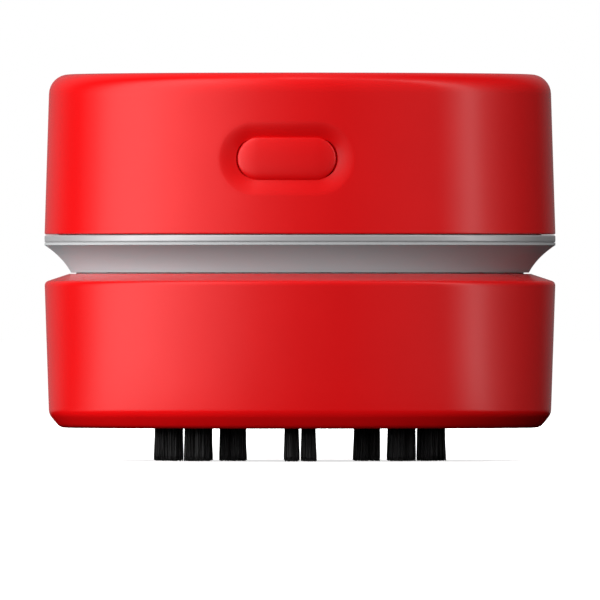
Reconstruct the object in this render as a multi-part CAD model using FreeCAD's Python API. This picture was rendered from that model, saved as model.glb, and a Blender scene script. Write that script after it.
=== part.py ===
import FreeCAD, Part
import math
import os

# A battery-driven desktop mini vacuum cleaner: a dust cup with bristle tufts below, a silver
# waist that carries motor, fan and cells, and a red cover with a push button above.
# Millimetres. +Z is up, -Y is the front, and the origin lies under the middle of the bristle tips.

# Outer form
body_diameter = 82.0
bristle_length = 5.3
lower_height = 24.7
waist_gap = 0.2
waist_height = 4.8
trim_height = 1.2
cover_gap = 0.1
upper_height = 25.7
shell_wall = 2.0
roof_wall = 1.9
upper_draft = 0.8
lower_draft = 0.7
top_rounding = 3.2
foot_rounding = 3.2
edge_rounding = 0.8
trim_rounding = 0.3

# Thread between dust cup and power head
shoulder_width = 4.8
shoulder_rise = 1.3
turn_clearance = 0.3
neck_wall = 2.5
neck_depth = 8.7
collar_length = 6.0
pin_count = 3
pin_radius = 1.2
pin_height = 4.4
slot_depth = 1.45
slot_clearance = 0.25
slot_run_in = 3.0
twist_degrees = 60.0
twist_rise = 6.0
seal_height = 1.5
seal_depth = 0.95
seal_drop = 0.6
seal_clearance = 0.1

# Dust cup and filter
floor_wall = 2.0
plate_recess = 2.0
inlet_radius = 8.7
chimney_wall = 1.5
chimney_height = 7.5
rib_count = 4
rib_angle = 45.0
rib_width = 1.6
filter_gap = 0.6
filter_height = 2.4
filter_ring_width = 3.8
filter_spoke_width = 1.6
filter_spoke_count = 6
filter_hub_radius = 3.2
filter_margin = 1.1
filter_mesh_thickness = 0.5
filter_seat_width = 2.2
rib_clearance = 0.3

# Brush plate and tufts
plate_radius = 27.0
plate_thickness = 1.8
plate_clearance = 0.2
tuft_radius = 1.3
tuft_pitch = 2.7
tuft_depth = 1.4
inner_tuft_ring = 15.2
inner_tuft_angles = [0, 45, 90, 135, 180, 225, 270, 315]
outer_tuft_ring = 22.15
outer_tuft_angles = [0, 48, 67.5, 90, 112.5, 132, 180, 228, 247.5, 270, 292.5, 312]
plate_screw_ring = 18.65
plate_screw_count = 4
plate_screw_angle = 22.5

# Waist
foot_step = 0.85
cone_bulge = 1.7
cone_lift = 0.25
rim_edge = 0.4
deck_wall = 1.6
rim_wall = 4.4
spigot_height = 3.6
spigot_wall = 1.7
cover_clearance = 0.3
key_count = 3
key_angle = 60.0
key_width = 1.6
key_clearance = 0.2
vent_count = 37
vent_pitch = 4.0
vent_width = 1.6
vent_height = 1.4
vent_drop = 1.0

# Screws
screw_radius = 1.0
screw_head_radius = 1.8
screw_head_height = 1.1
screw_bite = 4.0
boss_wall = 1.0
fit_gap = 0.02

# Motor and fan
motor_radius = 10.05
motor_flat = 7.55
motor_length = 25.1
can_length = 20.6
can_wall = 0.8
end_cap_boss = 1.1
well_wall = 1.7
well_depth = 2.8
motor_clearance = 0.1
shaft_radius = 1.0
shaft_clearance = 0.05
shaft_tail = 0.5
bush_radius = 3.0
bush_nose = 1.7
magnet_gap = 0.5
magnet_half_angle = 60.0
armature_radius = 6.4
armature_core_length = 10.0
armature_lift = 4.5
coil_overhang = 1.5
armature_pole_width = 2.2
armature_shoe = 1.0
armature_shoe_reach = 4.9
coil_width = 4.6
coil_gap = 1.2
commutator_radius = 2.2
commutator_length = 3.5
cap_cavity_radius = 5.2
cap_roof = 1.4
terminal_inside = 2.0
terminal_outside = 0.4
brush_drop = 1.0
collar_height = 7.6
collar_wall = 1.4
collar_flat_wall = 1.0
collar_ear_offset = 14.2
collar_ear_height = 2.0
fan_radius = 26.0
fan_plate = 1.2
fan_blade_height = 5.6
fan_blade_count = 9
fan_blade_thickness = 1.1
fan_blade_sweep = 42.0
fan_hub_radius = 4.2
fan_gap = 0.9
shroud_wall = 1.8
shroud_eye_radius = 10.0
eye_spoke_width = 1.6
eye_hub_radius = 3.2
shroud_clearance = 0.1
shroud_post_inset = 3.3
shroud_post_count = 3
shroud_post_angle = 30.0
shroud_post_radius = 2.3

# Cells and contacts
cell_radius = 7.1
cell_offset = 16.4
cell_body_length = 49.3
cell_nub_length = 1.1
cell_nub_radius = 2.7
cell_clearance = 0.15
spring_length = 3.0
spring_wire = 0.35
spring_wide = 4.4
spring_narrow = 2.4
spring_turns = 3
contact_thickness = 0.4
contact_width = 9.0
contact_height = 8.0
contact_clearance = 0.05
tray_floor = 1.1
tray_cradle = 3.6
tray_inner = 9.1
tray_outer_margin = 1.6
tray_end_wall = 1.3
tray_end_height = 14.5
tray_bar_height = 2.0
tray_bar_gap = 0.3
tray_screw_offset = 6.9
tray_screw_inset = 1.9
solder_tab_width = 2.4
solder_tab_height = 2.2

# Button and switch
button_turn = -3.1
button_height = 12.0
button_width = 15.7
button_tall = 6.8
button_sink = 0.15
button_rounding = 0.9
button_clearance = 0.2
button_travel = 1.2
dish_width = 20.9
dish_tall = 10.9
dish_depth = 1.0
dish_rounding = 0.5
flange_margin = 1.2
flange_thickness = 1.0
flange_clearance = 0.15
stem_radius = 2.0
retainer_depth = 6.6
retainer_thickness = 1.2
retainer_width = 30.0
retainer_tall = 9.0
retainer_screw_offset = 12.4
retainer_clearance = 0.5
retainer_boss_radius = 2.1
button_spring_radius = 2.9
button_spring_wire = 0.2
button_spring_turns = 3
spring_gap = 0.1
switch_size = 8.4
switch_length = 7.0
plunger_radius = 1.7
plunger_gap = 0.25
plunger_stand = 0.3
plunger_length = 4.4
pocket_clearance = 0.05
pocket_wall = 1.4
pin_width = 0.8
pin_thickness = 0.5
pin_length = 2.4
switch_pin_offset = 2.1

# Inside wires
lead_radius = 0.65

# Levels, stacked from the bristle tips up
body_radius = body_diameter / 2
foot_z = bristle_length
shoulder_z = foot_z + lower_height
waist_z = shoulder_z + waist_gap
rim_z = waist_z + waist_height
trim_top_z = rim_z + trim_height
cover_z = trim_top_z + cover_gap
top_z = cover_z + upper_height
ceiling_z = top_z - roof_wall
deck_top_z = trim_top_z + cover_gap / 2
deck_z = deck_top_z - deck_wall
neck_z = waist_z - neck_depth
pin_z = neck_z + pin_height
recess_z = foot_z + plate_recess
floor_z = recess_z + floor_wall
chimney_z = floor_z + chimney_height
filter_top_z = neck_z - filter_gap
filter_z = filter_top_z - filter_height
plate_z = recess_z - plate_thickness
well_floor_z = deck_top_z - well_depth
motor_top_z = well_floor_z + motor_length
can_top_z = well_floor_z + can_length
bush_z = well_floor_z - bush_nose
fan_top_z = bush_z - fan_gap
fan_plate_z = fan_top_z - fan_plate
fan_z = fan_plate_z - fan_blade_height
cell_z = deck_top_z + tray_floor + cell_clearance + cell_radius
button_z = cover_z + button_height

# Radii and reaches that follow from the sizes above
bore_radius = body_radius - shoulder_width
neck_radius = bore_radius - turn_clearance
neck_inner = neck_radius - neck_wall
slot_floor = neck_radius - slot_depth
pin_tip = slot_floor + turn_clearance
cavity_radius = body_radius - lower_draft - shell_wall
foot_radius = body_radius - lower_draft
recess_radius = plate_radius + plate_clearance
filter_radius = neck_radius - filter_margin
shroud_post_ring = neck_inner - shroud_post_inset
spigot_radius = body_radius - shell_wall - cover_clearance
spigot_inner = spigot_radius - spigot_wall
rim_inner = body_radius - rim_wall
chamber_rise = rim_inner - neck_inner
well_radius = motor_radius + motor_clearance + well_wall
bush_bore = shaft_radius + shaft_clearance
cell_end = (cell_body_length + cell_nub_length + spring_length) / 2
contact_face = cell_end + contact_clearance
wall_face = contact_face + contact_thickness + contact_clearance
tray_outer = cell_offset + cell_radius - tray_outer_margin
tray_end = wall_face + tray_end_wall
ear_radius = screw_head_radius + boss_wall
tray_bar_reach = collar_ear_offset + ear_radius + tray_bar_gap
inside_can = motor_radius - can_wall
screw_hole = screw_radius + fit_gap


def upper_radius(z):
    """Outer radius of the tapering upper shell at a height."""
    return body_radius - upper_draft * (z - cover_z) / upper_height


dish_floor = upper_radius(button_z) - dish_depth
button_face = upper_radius(button_z) - button_sink
inner_face = upper_radius(button_z + button_tall / 2 + flange_margin) - shell_wall
flange_face = inner_face - flange_clearance
flange_back = flange_face - flange_thickness
retainer_face = upper_radius(button_z) - retainer_depth
retainer_back = retainer_face - retainer_thickness
stem_tip = retainer_back - screw_head_height - button_travel / 3
plunger_tip = stem_tip - plunger_gap
switch_face = plunger_tip - button_travel - plunger_stand
switch_back = switch_face - switch_length

origin = FreeCAD.Vector(0, 0, 0)
up = FreeCAD.Vector(0, 0, 1)


def at(x, y, z):
    """A point."""
    return FreeCAD.Vector(x, y, z)


def turned(points):
    """A solid of revolution about Z from a closed outline of (radius, height) points."""
    corners = [at(r, 0, z) for r, z in points]
    outline = Part.makePolygon(corners + corners[:1])
    return Part.Face(outline).revolve(origin, up, 360)


def tube(outer, inner, low, high):
    """A plain ring about Z between two heights."""
    return turned([(inner, low), (outer, low), (outer, high), (inner, high)])


def disc(radius, low, high, x=0.0, y=0.0):
    """An upright cylinder between two heights."""
    return Part.makeCylinder(radius, high - low, at(x, y, low))


def box(x0, x1, y0, y1, z0, z1):
    """A box between two corners."""
    return Part.makeBox(x1 - x0, y1 - y0, z1 - z0, at(x0, y0, z0))


def spun(shape, degrees):
    """A copy turned about the Z axis."""
    copy = shape.copy()
    copy.rotate(origin, up, degrees)
    return copy


def ring_of(shape, count, start=0.0):
    """Equal copies of a shape, evenly spaced about the Z axis."""
    return [spun(shape, start + 360.0 * i / count) for i in range(count)]


def rounded(shape, size, places):
    """The shape with its circular edges at the given (radius, height) places rounded."""
    edges = []
    for edge in shape.Edges:
        if not isinstance(edge.Curve, Part.Circle):
            continue
        for r, z in places:
            level = abs(edge.Curve.Center.z - z) < 0.001
            if level and abs(edge.Curve.Radius - r) < 0.001:
                edges.append(edge)
    return shape.makeFillet(size, edges)


def front_pill(width, tall, near, far):
    """An upright pill-shaped prism through the front wall, from a near to a far distance."""
    r = tall / 2
    half = width / 2 - r
    y = -far
    edges = [
        Part.LineSegment(at(-half, y, -r), at(half, y, -r)).toShape(),
        Part.Arc(at(half, y, -r), at(half + r, y, 0), at(half, y, r)).toShape(),
        Part.LineSegment(at(half, y, r), at(-half, y, r)).toShape(),
        Part.Arc(at(-half, y, r), at(-half - r, y, 0), at(-half, y, -r)).toShape(),
    ]
    prism = Part.Face(Part.Wire(edges)).extrude(at(0, far - near, 0))
    prism.translate(at(0, 0, button_z))
    return prism


def front_rod(radius, near, far, x=0.0, z=None):
    """A cylinder that points at the front wall, from a near to a far distance."""
    height = button_z if z is None else z
    return Part.makeCylinder(radius, far - near, at(x, -near, height), at(0, -1, 0))


def at_button(shape):
    """The shape turned to where the button sits on the round wall."""
    return spun(shape, button_turn)


def coil(wide, narrow, length, turns, wire):
    """A round wire wound about Z into a straight or conical spring, from z = 0 up."""
    slope = math.degrees(math.atan2(narrow - wide, length))
    helix = Part.makeHelix(length / turns, length, wide, slope)
    section = Part.Wire(Part.makeCircle(wire, at(wide, 0, 0), at(0, 1, 0)))
    return Part.Wire(helix.Edges).makePipeShell([section], True, True)


def lead(points, radius):
    """A wire through the points, with an arc tangent to both runs at each inner point."""
    edges = []
    start = points[0]
    for i in range(1, len(points) - 1):
        back = points[i - 1] - points[i]
        ahead = points[i + 1] - points[i]
        half_turn = (math.pi - back.getAngle(ahead)) / 2
        reach = 0.45 * min(back.Length, ahead.Length)
        bend = reach / math.tan(half_turn)
        enter = points[i] + back.normalize() * reach
        leave = points[i] + ahead.normalize() * reach
        inward = (back + ahead).normalize()
        middle = points[i] + inward * (bend / math.cos(half_turn) - bend)
        edges.append(Part.LineSegment(start, enter).toShape())
        edges.append(Part.Arc(enter, middle, leave).toShape())
        start = leave
    edges.append(Part.LineSegment(start, points[-1]).toShape())
    path = Part.Wire(edges)
    along = edges[0].tangentAt(edges[0].FirstParameter)
    section = Part.Wire(Part.makeCircle(radius, points[0], along))
    return path.makePipeShell([section], True, False)


def screw(x, y, head_z, length, point_up=False):
    """A pan-head screw on a vertical axis: its shank runs down, or up, from the head's seat."""
    way = 1 if point_up else -1
    shank = Part.makeCylinder(screw_radius, length, at(x, y, head_z), at(0, 0, way))
    head = Part.makeCylinder(screw_head_radius, screw_head_height, at(x, y, head_z), at(0, 0, -way))
    return shank.fuse(head).removeSplitter()


def polar(ring, degrees):
    """The x and y of a point on a circle; 0 degrees is the front."""
    angle = math.radians(degrees)
    return ring * math.sin(angle), -ring * math.cos(angle)


def polar_ring(ring, count, start):
    """The x and y of points spaced evenly on a circle."""
    return [polar(ring, start + 360.0 * i / count) for i in range(count)]


# Dust cup: floor with the inlet chimney, side wall, shoulder and collar with three thread pins
def lower_shell():
    seat = inlet_radius + plate_clearance
    collar_low = shoulder_z - collar_length
    collar_foot = collar_low - (cavity_radius - bore_radius)
    step = recess_radius + shell_wall
    shell = turned([
        (seat, recess_z),
        (recess_radius, recess_z),
        (recess_radius, foot_z),
        (foot_radius, foot_z),
        (body_radius, shoulder_z - shoulder_rise),
        (bore_radius + foot_step, shoulder_z),
        (bore_radius, shoulder_z),
        (bore_radius, collar_low),
        (cavity_radius, collar_foot),
        (cavity_radius, foot_z + shell_wall),
        (step, foot_z + shell_wall),
        (step, floor_z),
        (seat + chimney_wall, floor_z),
        (seat + chimney_wall, chimney_z),
        (seat, chimney_z),
    ])
    shell = rounded(shell, foot_rounding, [(foot_radius, foot_z)])
    shell = rounded(shell, edge_rounding, [(body_radius, shoulder_z - shoulder_rise)])
    added = []
    rib = box(-rib_width / 2, rib_width / 2, -cavity_radius - shell_wall / 2,
              -filter_radius + filter_seat_width, foot_z + shell_wall / 2, filter_z)
    stop_radius = filter_radius + rib_clearance
    stop = box(-rib_width / 2, rib_width / 2, -cavity_radius - shell_wall / 2, -stop_radius,
               filter_z - shell_wall, filter_top_z - filter_gap)
    added += ring_of(rib.fuse(stop), rib_count, rib_angle)
    pin = Part.makeCylinder(pin_radius, bore_radius + shell_wall / 2 - pin_tip,
                            at(0, -pin_tip, pin_z), at(0, -1, 0))
    added += ring_of(pin, pin_count)
    for x, y in plate_screw_places():
        added.append(disc(screw_radius + boss_wall, recess_z + floor_wall / 2,
                          recess_z + screw_bite + boss_wall, x, y))
    shell = shell.fuse(added)
    holes = []
    for x, y in plate_screw_places():
        holes.append(disc(screw_hole, recess_z - 1, recess_z + screw_bite, x, y))
    return shell.cut(holes)


def plate_screw_places():
    return polar_ring(plate_screw_ring, plate_screw_count, plate_screw_angle)


# Tufts stand in pairs side by side on two rings; every tuft sits in its own blind hole
def tuft_places(ring, angles):
    places = []
    for angle in angles:
        x, y = polar(ring, angle)
        along = math.radians(angle)
        for side in (-0.5, 0.5):
            shift = side * tuft_pitch
            places.append((x + shift * math.cos(along), y + shift * math.sin(along)))
    return places


def tufts(ring, angles):
    top = plate_z + tuft_depth
    return [disc(tuft_radius, 0, top, x, y) for x, y in tuft_places(ring, angles)]


def brush_plate():
    plate = tube(plate_radius, inlet_radius, plate_z, recess_z)
    places = tuft_places(inner_tuft_ring, inner_tuft_angles)
    places += tuft_places(outer_tuft_ring, outer_tuft_angles)
    cuts = [disc(tuft_radius + fit_gap, plate_z - 1, plate_z + tuft_depth, x, y) for x, y in places]
    for x, y in plate_screw_places():
        cuts.append(disc(screw_hole, plate_z - 1, recess_z + 1, x, y))
        cuts.append(disc(screw_head_radius + fit_gap, plate_z - 1, plate_z + screw_head_height, x, y))
    return plate.cut(cuts)


def plate_screws():
    seat_z = plate_z + screw_head_height
    length = recess_z + screw_bite - seat_z - fit_gap
    return [screw(x, y, seat_z, length, True) for x, y in plate_screw_places()]


# Filter: a spoked frame on the cup's ribs, with a disc of mesh in its rebate
def filter_frame():
    inner = filter_radius - filter_ring_width
    frame = tube(filter_radius, inner, filter_z, filter_top_z)
    mesh_z = filter_top_z - filter_mesh_thickness
    spoke = box(-filter_spoke_width / 2, filter_spoke_width / 2, -inner - 0.5, 0, filter_z, mesh_z)
    frame = frame.fuse(ring_of(spoke, filter_spoke_count))
    frame = frame.fuse(disc(filter_hub_radius, filter_z, mesh_z))
    rebate = disc(inner + filter_seat_width, mesh_z, filter_top_z + 1)
    return frame.cut(rebate).removeSplitter()


def filter_mesh():
    radius = filter_radius - filter_ring_width + filter_seat_width - fit_gap
    return disc(radius, filter_top_z - filter_mesh_thickness, filter_top_z)


# Soft ring that closes the joint between neck and dust cup
def seal_ring():
    top = waist_z - seal_drop
    inner = neck_radius - seal_depth + seal_clearance
    ring = tube(bore_radius - seal_clearance, inner, top - seal_height, top)
    return ring


def thread_slot():
    """The helical groove in which one pin of the dust cup runs as the head turns."""
    per_degree = twist_rise / twist_degrees
    first = -twist_degrees - 2 * slot_run_in
    turn = slot_run_in - first
    tall = 2 * (pin_radius + slot_clearance)
    outer = neck_radius + turn_clearance
    helix = Part.makeHelix(per_degree * 360, per_degree * turn, (slot_floor + outer) / 2)
    section = Part.makePolygon([
        at(slot_floor, 0, -tall / 2),
        at(outer, 0, -tall / 2),
        at(outer, 0, tall / 2),
        at(slot_floor, 0, tall / 2),
        at(slot_floor, 0, -tall / 2),
    ])
    slot = Part.Wire(helix.Edges).makePipeShell([section], True, True)
    slot = spun(slot, -90 + first)
    slot.translate(at(0, 0, pin_z + per_degree * first))
    return slot


# Waist: one moulding with the neck, the flared silver cone, the deck and the spigot of the cover.
# The air leaves through slots in the back half of the cone, out of sight from the button's side
def waist_ring():
    foot = neck_radius + foot_step
    edge_z = rim_z - rim_edge
    outline = [
        (neck_inner, neck_z),
        (neck_radius, neck_z),
        (neck_radius, waist_z),
        (foot, waist_z),
    ]
    rise = edge_z - waist_z
    flare = body_radius - foot
    steps = 12
    for i in range(1, steps + 1):
        t = i / steps
        bulge = cone_bulge * t * (1 - t)
        outline.append((foot + flare * t - bulge * rise / flare,
                        waist_z + rise * t + bulge * cone_lift))
    outline += [
        (body_radius, rim_z),
        (spigot_radius, rim_z),
        (spigot_radius, deck_top_z + spigot_height),
        (spigot_inner, deck_top_z + spigot_height),
        (spigot_inner, deck_top_z),
        (motor_radius + motor_clearance, deck_top_z),
        (motor_radius + motor_clearance, well_floor_z),
        (bush_radius + motor_clearance, well_floor_z),
        (bush_radius + motor_clearance, bush_z),
        (well_radius, bush_z),
        (well_radius, deck_z),
        (rim_inner, deck_z),
        (rim_inner, waist_z + chamber_rise),
        (neck_inner, waist_z),
    ]
    ring = turned(outline)
    posts = []
    for x, y in shroud_post_places():
        posts.append(disc(shroud_post_radius, neck_z + shroud_wall, deck_z + 0.5 * deck_wall, x, y))
    for x, y in deck_screw_places():
        low = deck_z - (screw_bite - deck_wall) - boss_wall
        posts.append(disc(screw_radius + boss_wall, low, deck_z + 0.5 * deck_wall, x, y))
    ring = ring.fuse(posts)
    cuts = []
    for x, y in shroud_post_places():
        cuts.append(disc(screw_hole, neck_z, neck_z + shroud_wall + screw_bite, x, y))
    for x, y in deck_screw_places():
        cuts.append(disc(screw_hole, deck_top_z - screw_bite, deck_top_z + 1, x, y))
    groove_top = waist_z - seal_drop + seal_clearance
    cuts.append(tube(neck_radius + 1, neck_radius - seal_depth,
                     groove_top - seal_height - 2 * seal_clearance, groove_top))
    cuts += ring_of(thread_slot(), pin_count)
    vent_top = edge_z - vent_drop + vent_height / 2
    vent = box(-vent_width / 2, vent_width / 2, -body_radius - 1, -neck_inner - neck_wall / 2,
               vent_top - vent_height, vent_top)
    first_vent = 180 - vent_pitch * (vent_count - 1) / 2
    cuts += [spun(vent, first_vent + vent_pitch * i) for i in range(vent_count)]
    notch = box(-key_width / 2 - key_clearance, key_width / 2 + key_clearance,
                -spigot_radius - 1, -spigot_inner + 1, deck_top_z + key_clearance,
                deck_top_z + spigot_height + 1)
    cuts += ring_of(notch, key_count, key_angle)
    return ring.cut(cuts)


def shroud_post_places():
    """Where the screws of the fan shroud enter the waist."""
    return polar_ring(shroud_post_ring, shroud_post_count, shroud_post_angle)


def deck_screw_places():
    """Where the screws of the motor collar and of the battery tray enter the deck."""
    back = tray_bar_reach + tray_screw_inset
    places = [(0, -collar_ear_offset), (0, collar_ear_offset)]
    for side in (-1, 1):
        places.append((side * tray_screw_offset, -back))
        places.append((side * tray_screw_offset, back))
    return places


def trim_ring():
    ring = tube(body_radius, spigot_radius + fit_gap, rim_z, trim_top_z)
    return rounded(ring, trim_rounding, [(body_radius, rim_z), (body_radius, trim_top_z)])


# Fan shroud closes the neck from below; air enters by the spoked eye
def fan_shroud():
    top = neck_z + shroud_wall
    plate = tube(neck_inner - shroud_clearance, shroud_eye_radius, neck_z, top)
    spoke = box(-eye_spoke_width / 2, eye_spoke_width / 2, -shroud_eye_radius - 0.5, 0,
                neck_z, top)
    plate = plate.fuse(ring_of(spoke, 3)).fuse(disc(eye_hub_radius, neck_z, top))
    cuts = []
    for x, y in shroud_post_places():
        cuts.append(disc(screw_hole, neck_z - 1, top + 1, x, y))
        cuts.append(disc(screw_head_radius + fit_gap, neck_z - 1, neck_z + screw_head_height, x, y))
    return plate.cut(cuts).removeSplitter()


def shroud_screws():
    seat_z = neck_z + screw_head_height
    length = shroud_wall + screw_bite - screw_head_height - fit_gap
    return [screw(x, y, seat_z, length, True) for x, y in shroud_post_places()]


# Motor: flat-sided can, magnets, end cap with brushes, and the armature on the shaft
def motor_prism(radius, flat, low, high):
    prism = disc(radius, low, high)
    return prism.common(box(-flat, flat, -2 * radius, 2 * radius, low - 1, high + 1))


def motor_can():
    can = motor_prism(motor_radius, motor_flat, well_floor_z, can_top_z)
    inside = motor_prism(inside_can, motor_flat - can_wall, well_floor_z + can_wall, can_top_z + 1)
    return can.cut(inside).cut(disc(bush_radius, well_floor_z - 1, well_floor_z + 2))


def motor_bush():
    return tube(bush_radius, bush_bore, bush_z, well_floor_z + can_wall)


def magnet_span():
    """Lower and upper end of the magnets, centred on the armature core."""
    low = well_floor_z + armature_lift - coil_overhang / 2
    return low, low + armature_core_length + coil_overhang


def motor_magnets():
    low, high = magnet_span()
    ring = tube(inside_can, armature_radius + magnet_gap, low, high)
    half = (motor_flat - can_wall) - motor_clearance
    reach = inside_can * math.cos(math.radians(magnet_half_angle))
    front = ring.common(box(-half, half, -2 * inside_can, -reach, low - 1, high + 1))
    return [front, spun(front, 180)]


def motor_end_cap():
    flange_z = motor_top_z - end_cap_boss
    cap = motor_prism(motor_radius, motor_flat, can_top_z, flange_z)
    cap = cap.fuse(disc(bush_radius, flange_z, motor_top_z))
    cavity = disc(cap_cavity_radius, can_top_z - 1, flange_z - cap_roof)
    slots = [terminal_strip(side, fit_gap) for side in (-1, 1)]
    return cap.cut([disc(bush_bore, can_top_z - 1, motor_top_z + 1), cavity] + slots)


def terminal_strip(side, room):
    """One flat tab through the end cap, on the front or back side of the shaft."""
    half = solder_tab_width / 2 + room
    near = motor_flat - pin_thickness - room
    far = motor_flat + room
    low = can_top_z - terminal_inside
    high = motor_top_z + terminal_outside
    if side < 0:
        return box(-half, half, -far, -near, low, high)
    return box(-half, half, near, far, low, high)


def motor_terminals():
    solids = []
    level = can_top_z - brush_drop
    for side in (-1, 1):
        strip = terminal_strip(side, 0)
        near = commutator_radius + shaft_clearance
        far = motor_flat - pin_thickness / 2
        y0, y1 = (near, far) if side > 0 else (-far, -near)
        arm = box(-solder_tab_width / 3, solder_tab_width / 3, y0, y1, level, level + contact_thickness)
        solids.append(strip.fuse(arm).removeSplitter())
    return solids


def motor_shaft():
    return disc(shaft_radius, fan_z, motor_top_z + shaft_tail)


def armature_core():
    low = well_floor_z + armature_lift
    high = low + armature_core_length
    core = disc(commutator_radius, low, high)
    neck = box(-armature_pole_width / 2, armature_pole_width / 2,
               -armature_radius + armature_shoe / 2, 0, low, high)
    shoe = tube(armature_radius, armature_radius - armature_shoe, low, high)
    shoe = shoe.common(box(-armature_shoe_reach, armature_shoe_reach, -armature_radius - 1,
                           -armature_radius / 2, low, high))
    pole = neck.fuse(shoe)
    core = core.fuse(ring_of(pole, 3)).removeSplitter()
    return core.cut(disc(shaft_radius, low - 1, high + 1))


def armature_coils():
    low = well_floor_z + armature_lift - coil_overhang
    high = low + armature_core_length + 2 * coil_overhang
    out = armature_radius - armature_shoe - fit_gap
    block = box(-coil_width / 2, coil_width / 2, -out, -commutator_radius - coil_gap, low, high)
    block = block.common(disc(out, low, high))
    half = armature_pole_width / 2 + fit_gap
    neck = box(-half, half, -armature_radius, 0, low + coil_overhang - fit_gap,
               high - coil_overhang + fit_gap)
    return ring_of(block.cut(neck), 3)


def commutator():
    low = well_floor_z + armature_lift + armature_core_length + 2 * coil_overhang
    return tube(commutator_radius, shaft_radius, low, low + commutator_length)


def motor_collar():
    low = deck_top_z
    wall = motor_radius + motor_clearance
    collar = motor_prism(wall + collar_wall, motor_flat + collar_flat_wall, low, low + collar_height)
    for side in (-1, 1):
        y = side * collar_ear_offset
        collar = collar.fuse(disc(ear_radius, low, low + collar_ear_height, 0, y))
    hollow = motor_prism(wall, motor_flat + motor_clearance, low - 1, low + collar_height + 1)
    holes = [disc(screw_hole, low - 1, low + 3, 0, side * collar_ear_offset) for side in (-1, 1)]
    heads = []
    for side in (-1, 1):
        heads.append(disc(screw_head_radius + fit_gap, low + collar_ear_height,
                          low + collar_height + 1, 0, side * collar_ear_offset))
    return collar.cut([hollow] + holes + heads).removeSplitter()


def collar_screws():
    seat_z = deck_top_z + collar_ear_height
    length = collar_ear_height + screw_bite - fit_gap
    return [screw(0, side * collar_ear_offset, seat_z, length) for side in (-1, 1)]


# Fan: back plate, hub and swept blades that hang towards the eye
def fan_impeller():
    fan = disc(fan_radius, fan_plate_z, fan_top_z).fuse(disc(fan_hub_radius, fan_z, fan_top_z))
    inner = fan_hub_radius - 0.5
    outer = fan_radius

    def spot(ring, degrees, shift):
        angle = math.radians(degrees) + shift / ring
        return at(ring * math.cos(angle), ring * math.sin(angle), fan_z)

    middle = (inner + outer) / 2
    lead_edge = Part.Arc(spot(inner, 0, 0), spot(middle, fan_blade_sweep * 0.35, 0),
                         spot(outer, fan_blade_sweep, 0)).toShape()
    rear_edge = Part.Arc(spot(outer, fan_blade_sweep, fan_blade_thickness),
                         spot(middle, fan_blade_sweep * 0.35, fan_blade_thickness),
                         spot(inner, 0, fan_blade_thickness)).toShape()
    tip = Part.LineSegment(spot(outer, fan_blade_sweep, 0),
                           spot(outer, fan_blade_sweep, fan_blade_thickness)).toShape()
    root = Part.LineSegment(spot(inner, 0, fan_blade_thickness), spot(inner, 0, 0)).toShape()
    section = Part.Face(Part.Wire([lead_edge, tip, rear_edge, root]))
    blade = section.extrude(at(0, 0, fan_blade_height + fan_plate / 2))
    trim = tube(fan_radius + 5, fan_radius, fan_z - 1, fan_top_z + 1)
    fan = fan.fuse([b.cut(trim) for b in ring_of(blade, fan_blade_count)])
    return fan.cut(disc(shaft_radius, fan_z - 1, fan_top_z + 1)).removeSplitter()


# Battery tray: a cradle for each cell, end walls for the contacts and the tower of the switch
def battery_tray():
    low = deck_top_z
    cradle = box(tray_inner, tray_outer, -tray_end, tray_end, low, low + tray_cradle)
    wall = box(tray_inner, tray_outer, wall_face, tray_end, low, low + tray_end_height)
    side = cradle.fuse([wall, wall.mirror(origin, at(0, 1, 0))])
    bar = box(-tray_inner - 1, tray_inner + 1, tray_bar_reach, tray_end, low, low + tray_bar_height)
    back_wall = box(-tray_inner - 1, tray_inner + 1, wall_face, tray_end, low, low + tray_end_height)
    front_bar = box(-tray_inner - 1, tray_inner + 1, -switch_back, -tray_bar_reach, low,
                    low + tray_bar_height)
    tray = side.fuse([side.mirror(origin, at(1, 0, 0)), bar, back_wall, front_bar])
    tray = tray.fuse(switch_tower())
    cuts = []
    for way in (-1, 1):
        cuts.append(Part.makeCylinder(cell_radius + cell_clearance, 2 * wall_face,
                                      at(way * cell_offset, -wall_face, cell_z), at(0, 1, 0)))
    for x, y in deck_screw_places():
        if abs(x) > 0:
            cuts.append(disc(screw_hole, low - 1, low + tray_bar_height + 1, x, y))
    reach = retainer_width / 2 + retainer_clearance
    room = retainer_tall / 2 + retainer_clearance
    near = retainer_back - screw_head_height - retainer_clearance
    cuts.append(at_button(box(-reach, reach, -body_radius, -near, button_z - room, button_z + room)))
    return tray.cut(cuts).removeSplitter()


def switch_tower():
    """The pocket of the switch on its column, in line with the button."""
    half = switch_size / 2 + pocket_clearance
    side = half + pocket_wall
    shelf_z = button_z - half
    back = switch_back - pocket_clearance
    column = box(-half, half, -back, -back + pocket_wall, deck_top_z, button_z + half)
    shelf = box(-side, side, -switch_face, -back + pocket_wall, shelf_z - pocket_wall, shelf_z)
    cheek = box(half, side, -switch_face, -back + pocket_wall, shelf_z - pocket_wall, button_z + half / 2)
    tower = column.fuse([shelf, cheek, cheek.mirror(origin, at(1, 0, 0))])
    opening = box(-switch_pin_offset - 1, switch_pin_offset + 1, -back - 1, -back + pocket_wall + 1,
                  button_z - 1, button_z + 1)
    return at_button(tower.cut(opening))


def tray_screws():
    seat_z = deck_top_z + tray_bar_height
    length = tray_bar_height + screw_bite - fit_gap
    return [screw(x, y, seat_z, length) for x, y in deck_screw_places() if abs(x) > 0]


def cell(way):
    """One AA cell; way is -1 for the left one, whose raised end is at the back."""
    x = way * cell_offset
    tip = -way * cell_end
    toward = at(0, way, 0)
    nub = Part.makeCylinder(cell_nub_radius, cell_nub_length, at(x, tip, cell_z), toward)
    start = tip + way * cell_nub_length
    body = Part.makeCylinder(cell_radius, cell_body_length, at(x, start, cell_z), toward)
    body = body.makeFillet(0.5, [e for e in body.Edges if isinstance(e.Curve, Part.Circle)])
    return body.fuse(nub).removeSplitter()


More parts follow.
